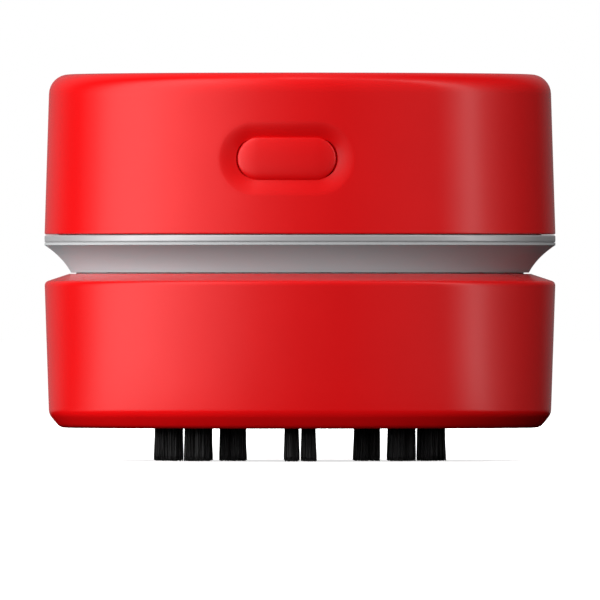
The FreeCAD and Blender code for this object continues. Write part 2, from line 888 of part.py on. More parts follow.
def battery_springs():
    """Conical springs under the flat ends: left cell in front, right cell at the back."""
    length = spring_length - 2 * spring_wire - 2 * contact_clearance
    wound = coil(spring_wide, spring_narrow, length, spring_turns, spring_wire)
    wound.translate(at(0, 0, contact_clearance + spring_wire))
    front = wound.copy()
    front.rotate(origin, at(1, 0, 0), -90)
    front.translate(at(-cell_offset, -cell_end, cell_z))
    back = wound.copy()
    back.rotate(origin, at(1, 0, 0), 90)
    back.translate(at(cell_offset, cell_end, cell_z))
    return [front, back]


def link_plate():
    half = cell_offset + contact_width / 2
    return box(-half, half, contact_face, contact_face + contact_thickness,
               cell_z - contact_height / 2, cell_z + contact_height / 2)


def end_plate(way):
    """Front contact with its solder tab, which stands above the tray's end wall."""
    low = cell_z - contact_height / 2
    tab_top = deck_top_z + tray_end_height + solder_tab_height
    x = way * cell_offset
    y0 = -contact_face - contact_thickness
    plate = box(x - contact_width / 2, x + contact_width / 2, y0, -contact_face,
                low, low + contact_height)
    tab_x = way * (cell_offset - contact_width / 2 + solder_tab_width / 2)
    tab = box(tab_x - solder_tab_width / 2, tab_x + solder_tab_width / 2, y0, -contact_face,
              low, tab_top)
    return plate.fuse(tab).removeSplitter()


# Switch in its pocket, in line with the button
def switch_body():
    half = switch_size / 2
    body = box(-half, half, -switch_face, -switch_back, button_z - half, button_z + half)
    well = front_rod(plunger_radius + shaft_clearance, switch_face - plunger_length, switch_face + 1)
    return at_button(body.cut(well))


def switch_plunger():
    return at_button(front_rod(plunger_radius, plunger_tip - plunger_length, plunger_tip))


def switch_terminals():
    solids = []
    for side in (-1, 1):
        x = side * switch_pin_offset
        pin = box(x - pin_width / 2, x + pin_width / 2, -switch_back, -switch_back + pin_length,
                  button_z - pin_thickness / 2, button_z + pin_thickness / 2)
        solids.append(at_button(pin))
    return solids


# Inside wires: cells to switch, switch to motor, and cells to motor
def pin_end(side):
    """The free end of a switch pin."""
    spot = at(side * switch_pin_offset, -switch_back + pin_length, button_z)
    return FreeCAD.Rotation(up, button_turn).multVec(spot)


def tab_end(way):
    """The top of a front contact's solder tab."""
    x = way * (cell_offset - contact_width / 2 + solder_tab_width / 2)
    y = -contact_face - contact_thickness / 2
    return at(x, y, deck_top_z + tray_end_height + solder_tab_height)


def red_leads():
    rise = at(0, 0, 3 * lead_radius)
    clear = lead_radius + contact_clearance
    tab = tab_end(1) + at(0, 0, contact_clearance)
    pin = pin_end(1) + at(0, contact_clearance, 0)
    loop_z = tab.z + 5 * lead_radius
    supply = [
        tab,
        tab + rise,
        at(tab.x - 3.5, tab.y + 4.5, loop_z),
        at(pin.x + 2.0, pin.y + 1.6, loop_z - 1.2),
        at(pin.x + 0.4, pin.y + 3.2, pin.z + 3.2),
        pin + at(0, 1.9, 0.1),
        pin,
    ]
    pin = pin_end(-1) + at(0, contact_clearance, 0)
    brush = at(0, -motor_flat - clear, motor_top_z)
    feed = [
        pin,
        pin + at(0, 1.6, 0),
        at(pin.x + 0.2, pin.y + 3.6, pin.z + 3.5),
        at(pin.x + 1.0, brush.y - 5.0, brush.z - 2.5),
        brush + at(0, -2.4, 0),
        brush + at(0, 0.4 * lead_radius, 0),
    ]
    return [lead(supply, lead_radius), lead(feed, lead_radius)]


def black_lead():
    clear = lead_radius + contact_clearance
    tab = tab_end(-1) + at(0, 0, contact_clearance)
    brush = at(0, motor_flat + clear, motor_top_z)
    rest = cell_z + cell_radius
    groove = -motor_radius - lead_radius
    route = [
        tab,
        tab + at(0, 0, 2.2),
        at(tab.x + 1.2, tab.y + 5.0, rest + 1.2),
        at(groove, tab.y + 14.0, rest - 1.3),
        at(groove - 0.3, 2.0, rest - 1.2),
        at(groove + 1.8, brush.y + 4.0, rest + 2.5),
        at(brush.x - 3.6, brush.y + 5.2, brush.z - 0.6),
        brush + at(0, 2.6, 0),
        brush + at(0, -0.4 * lead_radius, 0),
    ]
    return lead(route, lead_radius)


# Upper shell: drafted cup with the dish of the button, inner bosses and three keys
def upper_shell():
    outer_top = upper_radius(top_z)
    inner_low = upper_radius(cover_z) - shell_wall
    inner_top = upper_radius(ceiling_z) - shell_wall
    shell = turned([
        (inner_low, cover_z),
        (body_radius, cover_z),
        (outer_top, top_z),
        (0, top_z),
        (0, ceiling_z),
        (inner_top, ceiling_z),
    ])
    shell = rounded(shell, top_rounding, [(outer_top, top_z)])
    added = []
    key = box(-key_width / 2, key_width / 2, -inner_low - shell_wall / 3, -spigot_inner - key_clearance,
              deck_top_z + 2 * key_clearance, deck_top_z + spigot_height)
    added += ring_of(key, key_count, key_angle)
    for side in (-1, 1):
        x = side * retainer_screw_offset
        wall = math.sqrt((inner_face + shell_wall / 3) ** 2 - x ** 2)
        added.append(at_button(front_rod(retainer_boss_radius, retainer_face, wall, x)))
    shell = shell.fuse(added)
    dish = front_pill(dish_width, dish_tall, 0, body_radius + 1)
    dish = dish.common(tube(body_radius + 2, dish_floor, cover_z, top_z))
    shell = shell.cut(at_button(dish))
    brim = [e for e in shell.Edges if on_brim(e)]
    shell = shell.makeFillet(dish_rounding, brim)
    opening = front_pill(button_width + 2 * button_clearance, button_tall + 2 * button_clearance,
                         retainer_face, body_radius + 1)
    cuts = [at_button(opening)]
    for side in (-1, 1):
        x = side * retainer_screw_offset
        cuts.append(at_button(front_rod(screw_hole, retainer_face - 1,
                                        retainer_face + screw_bite / 2, x)))
    return shell.cut(cuts)


def on_brim(edge):
    """Whether an edge runs round the mouth of the button's dish."""
    reach = edge.BoundBox
    level = reach.ZMin > button_z - dish_tall and reach.ZMax < button_z + dish_tall
    return level and edge_radius(edge) > upper_radius(top_z) and reach.YMax < 0


def power_button():
    pill = front_pill(button_width, button_tall, flange_back, body_radius + 1)
    pill = pill.common(tube(button_face, flange_back, cover_z, top_z))
    rim = [e for e in pill.Edges if edge_radius(e) > button_face - 0.01]
    pill = pill.makeFillet(button_rounding, rim)
    flange = front_pill(button_width + 2 * flange_margin, button_tall + 2 * flange_margin,
                        0, body_radius)
    flange = flange.common(tube(flange_face, flange_back, cover_z, top_z))
    stem = front_rod(stem_radius, stem_tip, flange_back + flange_thickness / 2)
    return at_button(pill.fuse([flange, stem]).removeSplitter())


def edge_radius(edge):
    """Least distance of an edge's ends and middle from the Z axis."""
    first, last = edge.ParameterRange
    spots = [edge.valueAt(first), edge.valueAt((first + last) / 2), edge.valueAt(last)]
    return min(math.hypot(p.x, p.y) for p in spots)


def button_retainer():
    half_x = retainer_width / 2
    half_z = retainer_tall / 2
    plate = box(-half_x, half_x, -retainer_face, -retainer_back, button_z - half_z, button_z + half_z)
    holes = [front_rod(stem_radius + button_clearance, 0, body_radius)]
    for side in (-1, 1):
        holes.append(front_rod(screw_hole, 0, body_radius, side * retainer_screw_offset))
    return at_button(plate.cut(holes))


def retainer_screws():
    solids = []
    for side in (-1, 1):
        x = side * retainer_screw_offset
        shank = front_rod(screw_radius, retainer_back, retainer_face + screw_bite / 2 - fit_gap, x)
        head = front_rod(screw_head_radius, retainer_back - screw_head_height, retainer_back, x)
        solids.append(at_button(shank.fuse(head).removeSplitter()))
    return solids


def button_spring():
    far = math.sqrt(flange_back ** 2 - (button_spring_radius + button_spring_wire) ** 2)
    start = retainer_face + spring_gap + button_spring_wire
    length = far - spring_gap - button_spring_wire - start
    wound = coil(button_spring_radius, button_spring_radius, length, button_spring_turns,
                 button_spring_wire)
    wound.rotate(origin, at(1, 0, 0), 90)
    wound.translate(at(0, -start, button_z))
    return at_button(wound)


pieces = {
    "lower_shell": lower_shell(),
    "brush_plate": brush_plate(),
    "inner_tufts": tufts(inner_tuft_ring, inner_tuft_angles),
    "outer_tufts": tufts(outer_tuft_ring, outer_tuft_angles),
    "plate_screws": plate_screws(),
    "filter_frame": filter_frame(),
    "filter_mesh": filter_mesh(),
    "seal_ring": seal_ring(),
    "waist_ring": waist_ring(),
    "trim_ring": trim_ring(),
    "fan_shroud": fan_shroud(),
    "shroud_screws": shroud_screws(),
    "motor_can": motor_can(),
    "motor_magnets": motor_magnets(),
    "motor_bush": motor_bush(),
    "motor_end_cap": motor_end_cap(),
    "motor_terminals": motor_terminals(),
    "motor_collar": motor_collar(),
    "collar_screws": collar_screws(),
    "motor_shaft": motor_shaft(),
    "armature_core": armature_core(),
    "armature_coils": armature_coils(),
    "commutator": commutator(),
    "fan_impeller": fan_impeller(),
    "battery_tray": battery_tray(),
    "tray_screws": tray_screws(),
    "left_cell": cell(-1),
    "right_cell": cell(1),
    "battery_springs": battery_springs(),
    "link_plate": link_plate(),
    "negative_plate": end_plate(-1),
    "positive_plate": end_plate(1),
    "switch_body": switch_body(),
    "switch_plunger": switch_plunger(),
    "switch_terminals": switch_terminals(),
    "red_leads": red_leads(),
    "black_lead": black_lead(),
    "upper_shell": upper_shell(),
    "power_button": power_button(),
    "button_retainer": button_retainer(),
    "retainer_screws": retainer_screws(),
    "button_spring": button_spring(),
}

os.makedirs("parts", exist_ok=True)
for name, piece in pieces.items():
    solids = piece if isinstance(piece, list) else piece.Solids
    for solid in solids:
        if not solid.isValid():
            raise ValueError(name + " has a solid that isn't valid")
    shape = solids[0] if len(solids) == 1 else Part.makeCompound(solids)
    shape.exportStep("parts/" + name + ".step")
    print(name, len(solids), round(shape.Volume, 1))
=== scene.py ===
import math

import bmesh
import bpy
import numpy as np
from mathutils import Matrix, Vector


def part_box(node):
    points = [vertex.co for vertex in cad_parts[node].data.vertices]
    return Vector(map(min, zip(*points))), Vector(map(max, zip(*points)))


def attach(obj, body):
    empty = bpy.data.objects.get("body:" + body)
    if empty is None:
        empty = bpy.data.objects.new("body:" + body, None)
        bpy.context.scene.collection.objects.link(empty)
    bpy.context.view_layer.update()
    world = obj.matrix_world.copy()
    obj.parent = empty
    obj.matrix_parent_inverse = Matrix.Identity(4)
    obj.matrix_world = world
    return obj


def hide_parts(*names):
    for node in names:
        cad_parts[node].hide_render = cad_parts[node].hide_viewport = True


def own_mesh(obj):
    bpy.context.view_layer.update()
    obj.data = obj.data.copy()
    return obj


# A desktop mini vacuum cleaner, dressed piece by piece in the order in which it is put together.
# Metres, in the frame of the construction model: +Z up, the button side faces -Y.
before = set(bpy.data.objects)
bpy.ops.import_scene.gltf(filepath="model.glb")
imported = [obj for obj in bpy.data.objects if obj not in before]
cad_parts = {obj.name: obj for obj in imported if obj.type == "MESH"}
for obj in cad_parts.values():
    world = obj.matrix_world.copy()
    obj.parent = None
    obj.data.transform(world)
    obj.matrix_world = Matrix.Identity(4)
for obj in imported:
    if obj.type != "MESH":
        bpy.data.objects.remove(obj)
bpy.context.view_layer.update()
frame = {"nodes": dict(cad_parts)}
nodes = frame["nodes"]
mm = 0.001


# ---- Dust cup ----
# The lower half of the body: one semi-gloss red ABS moulding with the inlet chimney in its floor,
# four ribs that carry the filter, and a collar with the three pins of the screw joint.
body_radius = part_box("trim_ring")[1].x
foot_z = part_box("lower_shell")[0].z
shoulder_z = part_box("lower_shell")[1].z
plate_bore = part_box("brush_plate")[1].x + 0.2 * mm
recess_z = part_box("brush_plate")[1].z
wall = 2.0 * mm
draft = 0.7 * mm
foot_tall = 2.25 * mm
foot_inset = 1.75 * mm
shoulder_fall = 1.3 * mm
shoulder_edge = 0.85 * mm
bore_radius = body_radius - 4.8 * mm
cavity_radius = body_radius - draft - wall
seat_radius = 8.9 * mm
chimney_radius = seat_radius + 1.5 * mm
chimney_z = 16.8 * mm
collar_low = shoulder_z - 6.0 * mm
rib_half = 0.8 * mm
rib_root = cavity_radius + 0.6 * mm
rib_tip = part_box("filter_frame")[1].x - 2.2 * mm
rib_foot = foot_z + 1.0 * mm
rib_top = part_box("filter_frame")[0].z
pin_radius = 1.2 * mm
pin_z = 25.9 * mm
pin_root = bore_radius + 1.0 * mm
pin_tip = 34.75 * mm


class Wire:
    """An output of a node; arithmetic on it adds Math nodes to the same tree."""

    def __init__(self, nodes, socket):
        self.nodes = nodes
        self.socket = socket

    def math(self, operation, *others):
        values = dict(enumerate((self,) + others))
        return self.nodes.node("Math", {"operation": operation}, values)

    def __add__(self, other):
        return self.math("ADD", other)

    def __sub__(self, other):
        return self.math("SUBTRACT", other)

    def __rsub__(self, other):
        return self.nodes.node("Math", {"operation": "SUBTRACT"}, {0: other, 1: self})

    def __mul__(self, other):
        return self.math("MULTIPLY", other)

    __radd__ = __add__
    __rmul__ = __mul__


class Nodes:
    """A node tree, whose nodes are each made in one call and take plain values or wires."""

    def __init__(self, tree):
        self.tree = tree

    def set(self, socket, value):
        """Links a wire to a socket, or gives the socket a plain value."""
        if isinstance(value, Wire):
            self.tree.links.new(value.socket, socket)
        else:
            socket.default_value = value

    def node(self, kind, settings=None, values=None, output=0):
        """Adds a node of a kind, with its settings and the values or wires of its inputs, and
        returns the wire of one output."""
        made = self.tree.nodes.new("ShaderNode" + kind)
        for setting, value in (settings or {}).items():
            setattr(made, setting, value)
        for socket, value in (values or {}).items():
            self.set(made.inputs[socket], value)
        return Wire(self, made.outputs[output]) if made.outputs else made

    def place(self):
        """The object's own coordinates."""
        return self.node("TexCoord", output="Object")

    def axis(self, name):
        """One of the object's own coordinates, in metres."""
        return self.node("SeparateXYZ", values={0: self.place()}, output=name)

    def noise(self, size, detail=2.0, roughness=0.5, vector=None):
        """Noise from 0 to 1 with features of about the given size in metres."""
        where = vector or self.place()
        return self.node("TexNoise", values={"Vector": where, "Scale": 1 / size, "Detail": detail,
                                             "Roughness": roughness})

    def steps(self, value, low, high, to_low=0.0, to_high=1.0):
        """The value carried from one range to another, with soft ends."""
        return self.node("MapRange", {"interpolation_type": "SMOOTHSTEP"},
                         {"Value": value, "From Min": low, "From Max": high, "To Min": to_low,
                          "To Max": to_high})

    def blend(self, mask, first, second):
        """A colour between two colours or wires."""
        return self.node("Mix", {"data_type": "RGBA"}, {0: mask, 6: first, 7: second}, output=2)

    def bump(self, height, depth):
        """A normal from a height of 0 to 1 that stands for a real depth in metres."""
        return self.node("Bump", values={"Height": height, "Distance": depth})


class Finish(Nodes):
    """A material: one Principled shader and the nodes that drive its sockets."""

    def __init__(self, name, **values):
        self.material = bpy.data.materials.new(name)
        self.material.use_nodes = True
        super().__init__(self.material.node_tree)
        self.wear(**values)

    def wear(self, **values):
        """Sets the sockets of the shader, by name, to plain values or wires."""
        for socket, value in values.items():
            self.set(self.tree.nodes["Principled BSDF"].inputs[socket.replace("_", " ")], value)
        return self


def colour(red, green, blue):
    """An opaque colour, in linear values."""
    return (red, green, blue, 1.0)


def red_plastic(name, base, dark, roughness):
    """Glossy moulded ABS: a faint cloud in the colour, orange peel, and fine handling marks."""
    finish = Finish(name, IOR=1.5)
    cloud = finish.noise(9 * mm, detail=3.0)
    peel = finish.noise(0.55 * mm, detail=1.0)
    grain = finish.noise(0.11 * mm, detail=1.0)
    stretch = finish.node("Mapping", values={"Vector": finish.place(), "Scale": (1.0, 1.0, 0.12),
                                             "Rotation": (0.3, 0.5, 0.0)})
    scratch = finish.noise(0.35 * mm, detail=2.0, vector=stretch)
    marks = finish.steps(scratch, 0.66, 0.74)
    rough = roughness + 0.05 * (cloud - 0.5) + 0.04 * (peel - 0.5) + 0.03 * marks
    return finish.wear(Base_Color=finish.blend(cloud, base, dark), Roughness=rough,
                       Normal=finish.bump(peel * 0.7 + grain * 0.3, 0.006 * mm))


def grid_faces(rows, columns, wrap_rows=False, wrap_columns=True):
    """Quads that join each point of a grid to the next in its row and in its column."""
    down = np.arange(rows if wrap_rows else rows - 1)
    along = np.arange(columns if wrap_columns else columns - 1)
    i, j = np.meshgrid(down, along, indexing="ij")
    next_i, next_j = (i + 1) % rows, (j + 1) % columns
    corners = (i * columns + j, i * columns + next_j, next_i * columns + next_j,
               next_i * columns + j)
    return np.stack([c.ravel() for c in corners], axis=1)


def soft_outline(corners, support=0.25 * mm, steps=5):
    """A closed outline with arcs for corners. Each corner is (radius, height, rounding): the arc
    is tangent to both runs, and a point on each run just beyond it keeps the run flat."""
    points = []
    for i, (r, z, rounding) in enumerate(corners):
        here = np.array([r, z])
        back = np.array(corners[i - 1][:2]) - here
        ahead = np.array(corners[(i + 1) % len(corners)][:2]) - here
        back_run, ahead_run = np.linalg.norm(back), np.linalg.norm(ahead)
        back, ahead = back / back_run, ahead / ahead_run
        if rounding == 0:
            points.append(here)
            continue
        half = math.acos(float(np.clip(back @ ahead, -1, 1))) / 2
        reach = rounding / math.tan(half)
        inward = (back + ahead) / np.linalg.norm(back + ahead)
        centre = here + inward * rounding / math.sin(half)
        start, end = here + back * reach - centre, here + ahead * reach - centre
        first = math.atan2(start[1], start[0])
        sweep = (math.atan2(end[1], end[0]) - first + math.pi) % (2 * math.pi) - math.pi
        angles = first + sweep * np.linspace(0, 1, steps + 1)
        arc = centre + rounding * np.stack([np.cos(angles), np.sin(angles)], axis=1)
        if back_run > 3 * (reach + support):
            points.append(here + back * (reach + support))
        points.extend(arc)
        if ahead_run > 3 * (reach + support):
            points.append(here + ahead * (reach + support))
    return np.array(points)


def revolve(outline, columns, closed=True):
    """The surface that an outline of (r, z) points sweeps in a full turn about Z. At a turn t from
    the front, its points are (r sin t, -r cos t, z)."""
    turn = np.linspace(0, 2 * math.pi, columns, endpoint=False)
    r, z = outline[:, :1], outline[:, 1:]
    points = np.stack([r * np.sin(turn), -r * np.cos(turn), z + 0 * turn], axis=2)
    return points.reshape(-1, 3), grid_faces(len(outline), columns, wrap_rows=closed)


def turned(points, degrees):
    """The points turned about the Z axis, anticlockwise seen from above."""
    c, s = math.cos(math.radians(degrees)), math.sin(math.radians(degrees))
    return points @ np.array([[c, s, 0], [-s, c, 0], [0, 0, 1]])


def turned_surface(surface, degrees):
    """A surface, as points and faces, turned about the Z axis."""
    points, faces = surface
    return turned(points, degrees), faces


def block(low, high):
    """A box between two corners, as a surface."""
    ends = np.array([low, high])
    picks = np.array([(i & 1, i >> 1 & 1, i >> 2 & 1) for i in range(8)])
    points = ends[picks, [0, 1, 2]]
    faces = [(0, 2, 3, 1), (4, 5, 7, 6), (0, 1, 5, 4), (2, 6, 7, 3), (0, 4, 6, 2), (1, 3, 7, 5)]
    return points, np.array(faces)


def rod(start, end, radius, columns=32, chamfer=0.15 * mm):
    """A round bar between two points with chamfered ends: circles square to its axis, whose
    points are centre + r (cos t side + sin t other)."""
    start, end = np.array(start, float), np.array(end, float)
    axis = (end - start) / np.linalg.norm(end - start)
    side = np.cross(axis, [0, 0, 1] if abs(axis[2]) < 0.9 else [1, 0, 0])
    side /= np.linalg.norm(side)
    other = np.cross(axis, side)
    rings = [(start, 0), (start, radius - chamfer), (start + axis * chamfer, radius),
             (end - axis * chamfer, radius), (end, radius - chamfer), (end, 0)]
    turn = np.linspace(0, 2 * math.pi, columns, endpoint=False)[:, None]
    points = [c + r * (np.cos(turn) * side + np.sin(turn) * other) for c, r in rings]
    return np.concatenate(points), grid_faces(len(rings), columns)


def piece(name, surfaces, finish, body, slot, *stands_for, crease=40):
    """Joins surfaces into one mesh, merges doubled points, turns the faces outwards, gives the piece
    its finish, hands it to its body, and hides the construction nodes that it stands for. Edges that
    bend by more than the crease, in degrees, stay sharp."""
    points, faces, start = [], [], 0
    for part_points, part_faces in surfaces:
        points.append(part_points)
        faces.append(part_faces + start)
        start += len(part_points)
    mesh = bpy.data.meshes.new(name)
    mesh.from_pydata(np.concatenate(points), [], np.concatenate(faces).tolist())
    edit = bmesh.new()
    edit.from_mesh(mesh)
    bmesh.ops.remove_doubles(edit, verts=edit.verts, dist=0.0005 * mm)
    bmesh.ops.recalc_face_normals(edit, faces=edit.faces)
    edit.to_mesh(mesh)
    edit.free()
    mesh.shade_smooth()
    mesh.set_sharp_from_angle(angle=math.radians(crease))
    mesh.materials.append(finish.material)
    made = bpy.data.objects.new(name, mesh)
    bpy.context.scene.collection.objects.link(made)
    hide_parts(*stands_for)
    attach(made, body)
    return made


def dress(finish, *names):
    """Gives construction nodes whose shape is right their finish."""
    for name in names:
        for place in nodes[name].material_slots:
            place.material = finish.material


red, deep_red = colour(0.72, 0.003, 0.004), colour(0.66, 0.0025, 0.0035)
shell_red = red_plastic("shell_red", red, deep_red, 0.19)

cup = soft_outline([
    (seat_radius, recess_z, 0.2 * mm),
    (plate_bore, recess_z, 0.2 * mm),
    (plate_bore, foot_z, 0.35 * mm),
    (body_radius - draft - foot_inset, foot_z, 1.7 * mm),
    (body_radius - draft, foot_z + foot_tall, 2.0 * mm),
    (body_radius, shoulder_z - shoulder_fall, 0.8 * mm),
    (bore_radius + shoulder_edge, shoulder_z, 0.3 * mm),
    (bore_radius, shoulder_z, 0.2 * mm),
    (bore_radius, collar_low, 0.2 * mm),
    (cavity_radius, collar_low - (cavity_radius - bore_radius), 0.4 * mm),
    (cavity_radius, foot_z + wall, 1.0 * mm),
    (plate_bore + wall, foot_z + wall, 0.4 * mm),
    (plate_bore + wall, recess_z + wall, 0.4 * mm),
    (chimney_radius, recess_z + wall, 0.5 * mm),
    (chimney_radius, chimney_z, 0.3 * mm),
    (seat_radius, chimney_z, 0.3 * mm),
], steps=6)
body_columns = 240
rib = block((-rib_half, -rib_root, rib_foot), (rib_half, -rib_tip, rib_top))
pin = rod((0, -pin_root, pin_z), (0, -pin_tip, pin_z), pin_radius)
cup_surfaces = [revolve(cup, body_columns)]
cup_surfaces += [turned_surface(rib, 45 + 90 * i) for i in range(4)]
cup_surfaces += [turned_surface(pin, 120 * i) for i in range(3)]
piece("dust_cup", cup_surfaces, shell_red, "dust_box", "shell_red", "lower_shell")


# ---- Brush plate and tufts ----
# A black disc with a round inlet, held by four screws, and forty tufts of black nylon bristle
# stapled into blind holes on two rings. The tips of the bristles are cut level.
def black_moulding(name, roughness):
    """Black ABS with a fine eroded grain and faint paler dust in the hollows of the grain."""
    finish = Finish(name, IOR=1.48)
    grain = finish.noise(0.22 * mm, detail=3.0, roughness=0.6)
    cloud = finish.noise(6 * mm)
    tone = finish.blend(finish.steps(grain, 0.35, 0.75), colour(0.010, 0.010, 0.011),
                        colour(0.022, 0.022, 0.023))
    return finish.wear(Base_Color=tone, Roughness=roughness + 0.12 * (cloud - 0.5),
                       Normal=finish.bump(grain, 0.012 * mm))


black_plastic = black_moulding("black_plastic", 0.46)
dress(black_plastic, "brush_plate", "fan_shroud", "motor_collar", "battery_tray",
      "button_retainer")

bristle = Finish("bristle", IOR=1.53, Sheen_Weight=0.1)
strand_tone = bristle.noise(0.5 * mm)
bristle.wear(Base_Color=bristle.blend(strand_tone, colour(0.008, 0.008, 0.009),
                                      colour(0.030, 0.029, 0.029)),
             Roughness=0.32 + 0.15 * strand_tone)

tuft_radius = 1.3 * mm
tuft_offset = 1.35 * mm
strand_radius = 0.12 * mm
strand_count = 61
strand_sides = 6
golden_angle = 2.39996
tip_scatter = 0.16 * mm
lean_scatter = 0.10 * mm
lean_share = 0.10
bow_power = 1.6
root_radius = 0.9 * (tuft_radius - strand_radius)
random = np.random.default_rng(7)


def tuft_surfaces(ring, angles):
    """Pairs of tufts on a ring, their bristles thin prisms. In a tuft, bristle k of n starts at
    R sqrt((k + 0.5) / n) from the middle, k golden angles round. It leans outwards by a share of
    that distance, bows a little, and ends near the floor."""
    turns = np.arange(strand_count) * golden_angle
    spread = root_radius * np.sqrt((np.arange(strand_count) + 0.5) / strand_count)
    root = spread[:, None] * np.stack([np.cos(turns), np.sin(turns)], axis=1)
    heights = np.array([1.0, 0.55, 0.12, 0.0])
    thick = strand_radius * np.array([1.0, 1.0, 0.95, 0.55])
    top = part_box("inner_tufts")[1].z
    side = np.linspace(0, 2 * math.pi, strand_sides, endpoint=False)
    start = (np.arange(strand_count) * len(heights) * strand_sides)[:, None, None]
    faces = (grid_faces(len(heights), strand_sides)[None] + start).reshape(-1, 4)
    surfaces = []
    for a in np.radians(angles):
        for offset in (-tuft_offset, tuft_offset):
            middle = np.array([ring * math.sin(a) + offset * math.cos(a),
                               -ring * math.cos(a) + offset * math.sin(a)])
            lean = random.normal(0, lean_scatter, (strand_count, 2)) + lean_share * root
            tip_z = random.uniform(0.0, tip_scatter, strand_count)
            drop = (1 - heights[None, :, None]) ** bow_power
            path = middle + root[:, None, :] + lean[:, None, :] * drop
            z = tip_z[:, None] + (top - tip_z[:, None]) * heights[None, :]
            x = path[:, :, None, 0] + thick[None, :, None] * np.cos(side)
            y = path[:, :, None, 1] + thick[None, :, None] * np.sin(side)
            grid = np.stack([x, y, np.broadcast_to(z[:, :, None], x.shape)], axis=3)
            surfaces.append((grid.reshape(-1, 3), faces))
    return surfaces


def closed_strands(name, surfaces, node):
    """A piece of bristles whose tips are closed by filling the open ends of each prism."""
    made = piece(name, surfaces, bristle, "dust_box", "bristle", node, crease=60)
    edit = bmesh.new()
    edit.from_mesh(made.data)
    rims = [rim for rim in edit.edges if rim.is_boundary]
    bmesh.ops.holes_fill(edit, edges=rims, sides=strand_sides)
    bmesh.ops.recalc_face_normals(edit, faces=edit.faces)
    edit.to_mesh(made.data)
    edit.free()


inner_ring = 15.2 * mm
inner_angles = [0, 45, 90, 135, 180, 225, 270, 315]
outer_ring = 22.15 * mm
outer_angles = [0, 48, 67.5, 90, 112.5, 132, 180, 228, 247.5, 270, 292.5, 312]
closed_strands("inner_bristles", tuft_surfaces(inner_ring, inner_angles), "inner_tufts")
closed_strands("outer_bristles", tuft_surfaces(outer_ring, outer_angles), "outer_tufts")


# ---- Screws of the brush plate ----
# Four zinc-plated steel screws with pan heads and a cross recess, driven up through the plate into
# the floor of the cup.
def bare_metal(name, base, roughness, stretch=(1.0, 1.0, 1.0)):
    """Polished or plated metal: fine marks, stretched by a scale on each axis, and a thin haze."""
    finish = Finish(name, Metallic=1.0)
    along = finish.node("Mapping", values={"Vector": finish.place(), "Scale": stretch})
    marks = finish.noise(0.2 * mm, detail=3.0, vector=along)
    haze = finish.noise(2.5 * mm)
    dull = colour(*[0.8 * part for part in base[:3]])
    return finish.wear(Base_Color=finish.blend(finish.steps(haze, 0.35, 0.75), base, dull),
                       Roughness=roughness + 0.18 * (marks - 0.5) + 0.10 * (haze - 0.5),
                       Normal=finish.bump(marks, 0.003 * mm))


def aimed(points, spot, way):
    """Points of a part made along +Z, turned so that +Z looks along a direction, at a spot."""
    z = np.array(way, float) / np.linalg.norm(way)
    x = np.cross([0.0, 1.0, 0.0] if abs(z[1]) < 0.9 else [1.0, 0.0, 0.0], z)
    x /= np.linalg.norm(x)
    return points @ np.array([x, np.cross(z, x), z]) + np.array(spot)


screw_steel = bare_metal("screw_steel", colour(0.60, 0.60, 0.62), 0.30)
screw_radius = 1.0 * mm
head_radius = 1.8 * mm
head_height = 1.1 * mm
recess_reach = 0.95 * mm
recess_width = 0.42 * mm
recess_depth = 0.6 * mm


def screw(seat, way, length, columns=96):
    """A screw whose head's seat is at a spot: the head looks along a direction, the shank back.
    Its rows are (radius, height) from the shank's tip to the floor of the recess. The recess has
    the radius max(min(reach / c, half / s), min(reach / s, half / c)), c = |cos t|, s = |sin t|."""
    turn = np.linspace(0, 2 * math.pi, columns, endpoint=False)
    c, s = np.abs(np.cos(turn)) + 1e-6, np.abs(np.sin(turn)) + 1e-6
    cross = np.maximum(np.minimum(recess_reach / c, recess_width / 2 / s),
                       np.minimum(recess_reach / s, recess_width / 2 / c))
    thread = screw_radius + 0 * turn
    head = head_radius + 0 * turn
    floor_z = head_height - recess_depth
    rows = [(0 * turn, -length), (0.6 * thread, -length), (thread, 0.4 * mm - length),
            (thread, -0.05 * mm), (thread, 0), (head - 0.1 * mm, 0), (head, 0.08 * mm),
            (head, 0.45 * mm), (0.96 * head, 0.72 * mm), (0.85 * head, 0.93 * mm),
            (0.7 * head, 1.05 * mm), (0.62 * head, head_height), (cross + 0.05 * mm, head_height),
            (cross, head_height - 0.05 * mm), (0.85 * cross, floor_z + 0.1 * mm),
            (0.7 * cross, floor_z), (0 * turn, floor_z - 0.1 * mm)]
    points = np.concatenate([np.stack([r * np.cos(turn), r * np.sin(turn), z + 0 * turn], axis=1)
                             for r, z in rows])
    return aimed(points, seat, way), grid_faces(len(rows), columns)


def ring_places(ring, count, start, z):
    """Spots spaced evenly on a circle at a height; 0 degrees is the front."""
    angles = np.radians(start + 360.0 / count * np.arange(count))
    return [(ring * math.sin(a), -ring * math.cos(a), z) for a in angles]


def screws(name, spots, way, length, body, node):
    """A piece of like screws that all look the same way."""
    piece(name, [screw(spot, way, length) for spot in spots], screw_steel, body, "screw_steel",
          node)


up, down = (0, 0, 1), (0, 0, -1)
plate_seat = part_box("plate_screws")[0].z + head_height
plate_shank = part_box("plate_screws")[1].z - plate_seat
plate_screw_ring = 18.65 * mm
screws("cup_screws", ring_places(plate_screw_ring, 4, 22.5, plate_seat), down, plate_shank,
       "dust_box", "plate_screws")


# ---- Filter ----
# A spoked frame of white polypropylene that rests on the cup's ribs, and a woven polyester cloth
# welded into its rebate.
def pale_moulding(name, base, roughness):
    """Matt white or cream plastic: a faint yellowing in clouds and a very fine moulded grain."""
    finish = Finish(name, IOR=1.49)
    cloud = finish.noise(5 * mm, detail=3.0)
    grain = finish.noise(0.15 * mm)
    aged = colour(0.93 * base[0], 0.90 * base[1], 0.82 * base[2])
    return finish.wear(Base_Color=finish.blend(finish.steps(cloud, 0.3, 0.8), base, aged),
                       Roughness=roughness + 0.12 * (cloud - 0.5),
                       Normal=finish.bump(grain, 0.005 * mm))


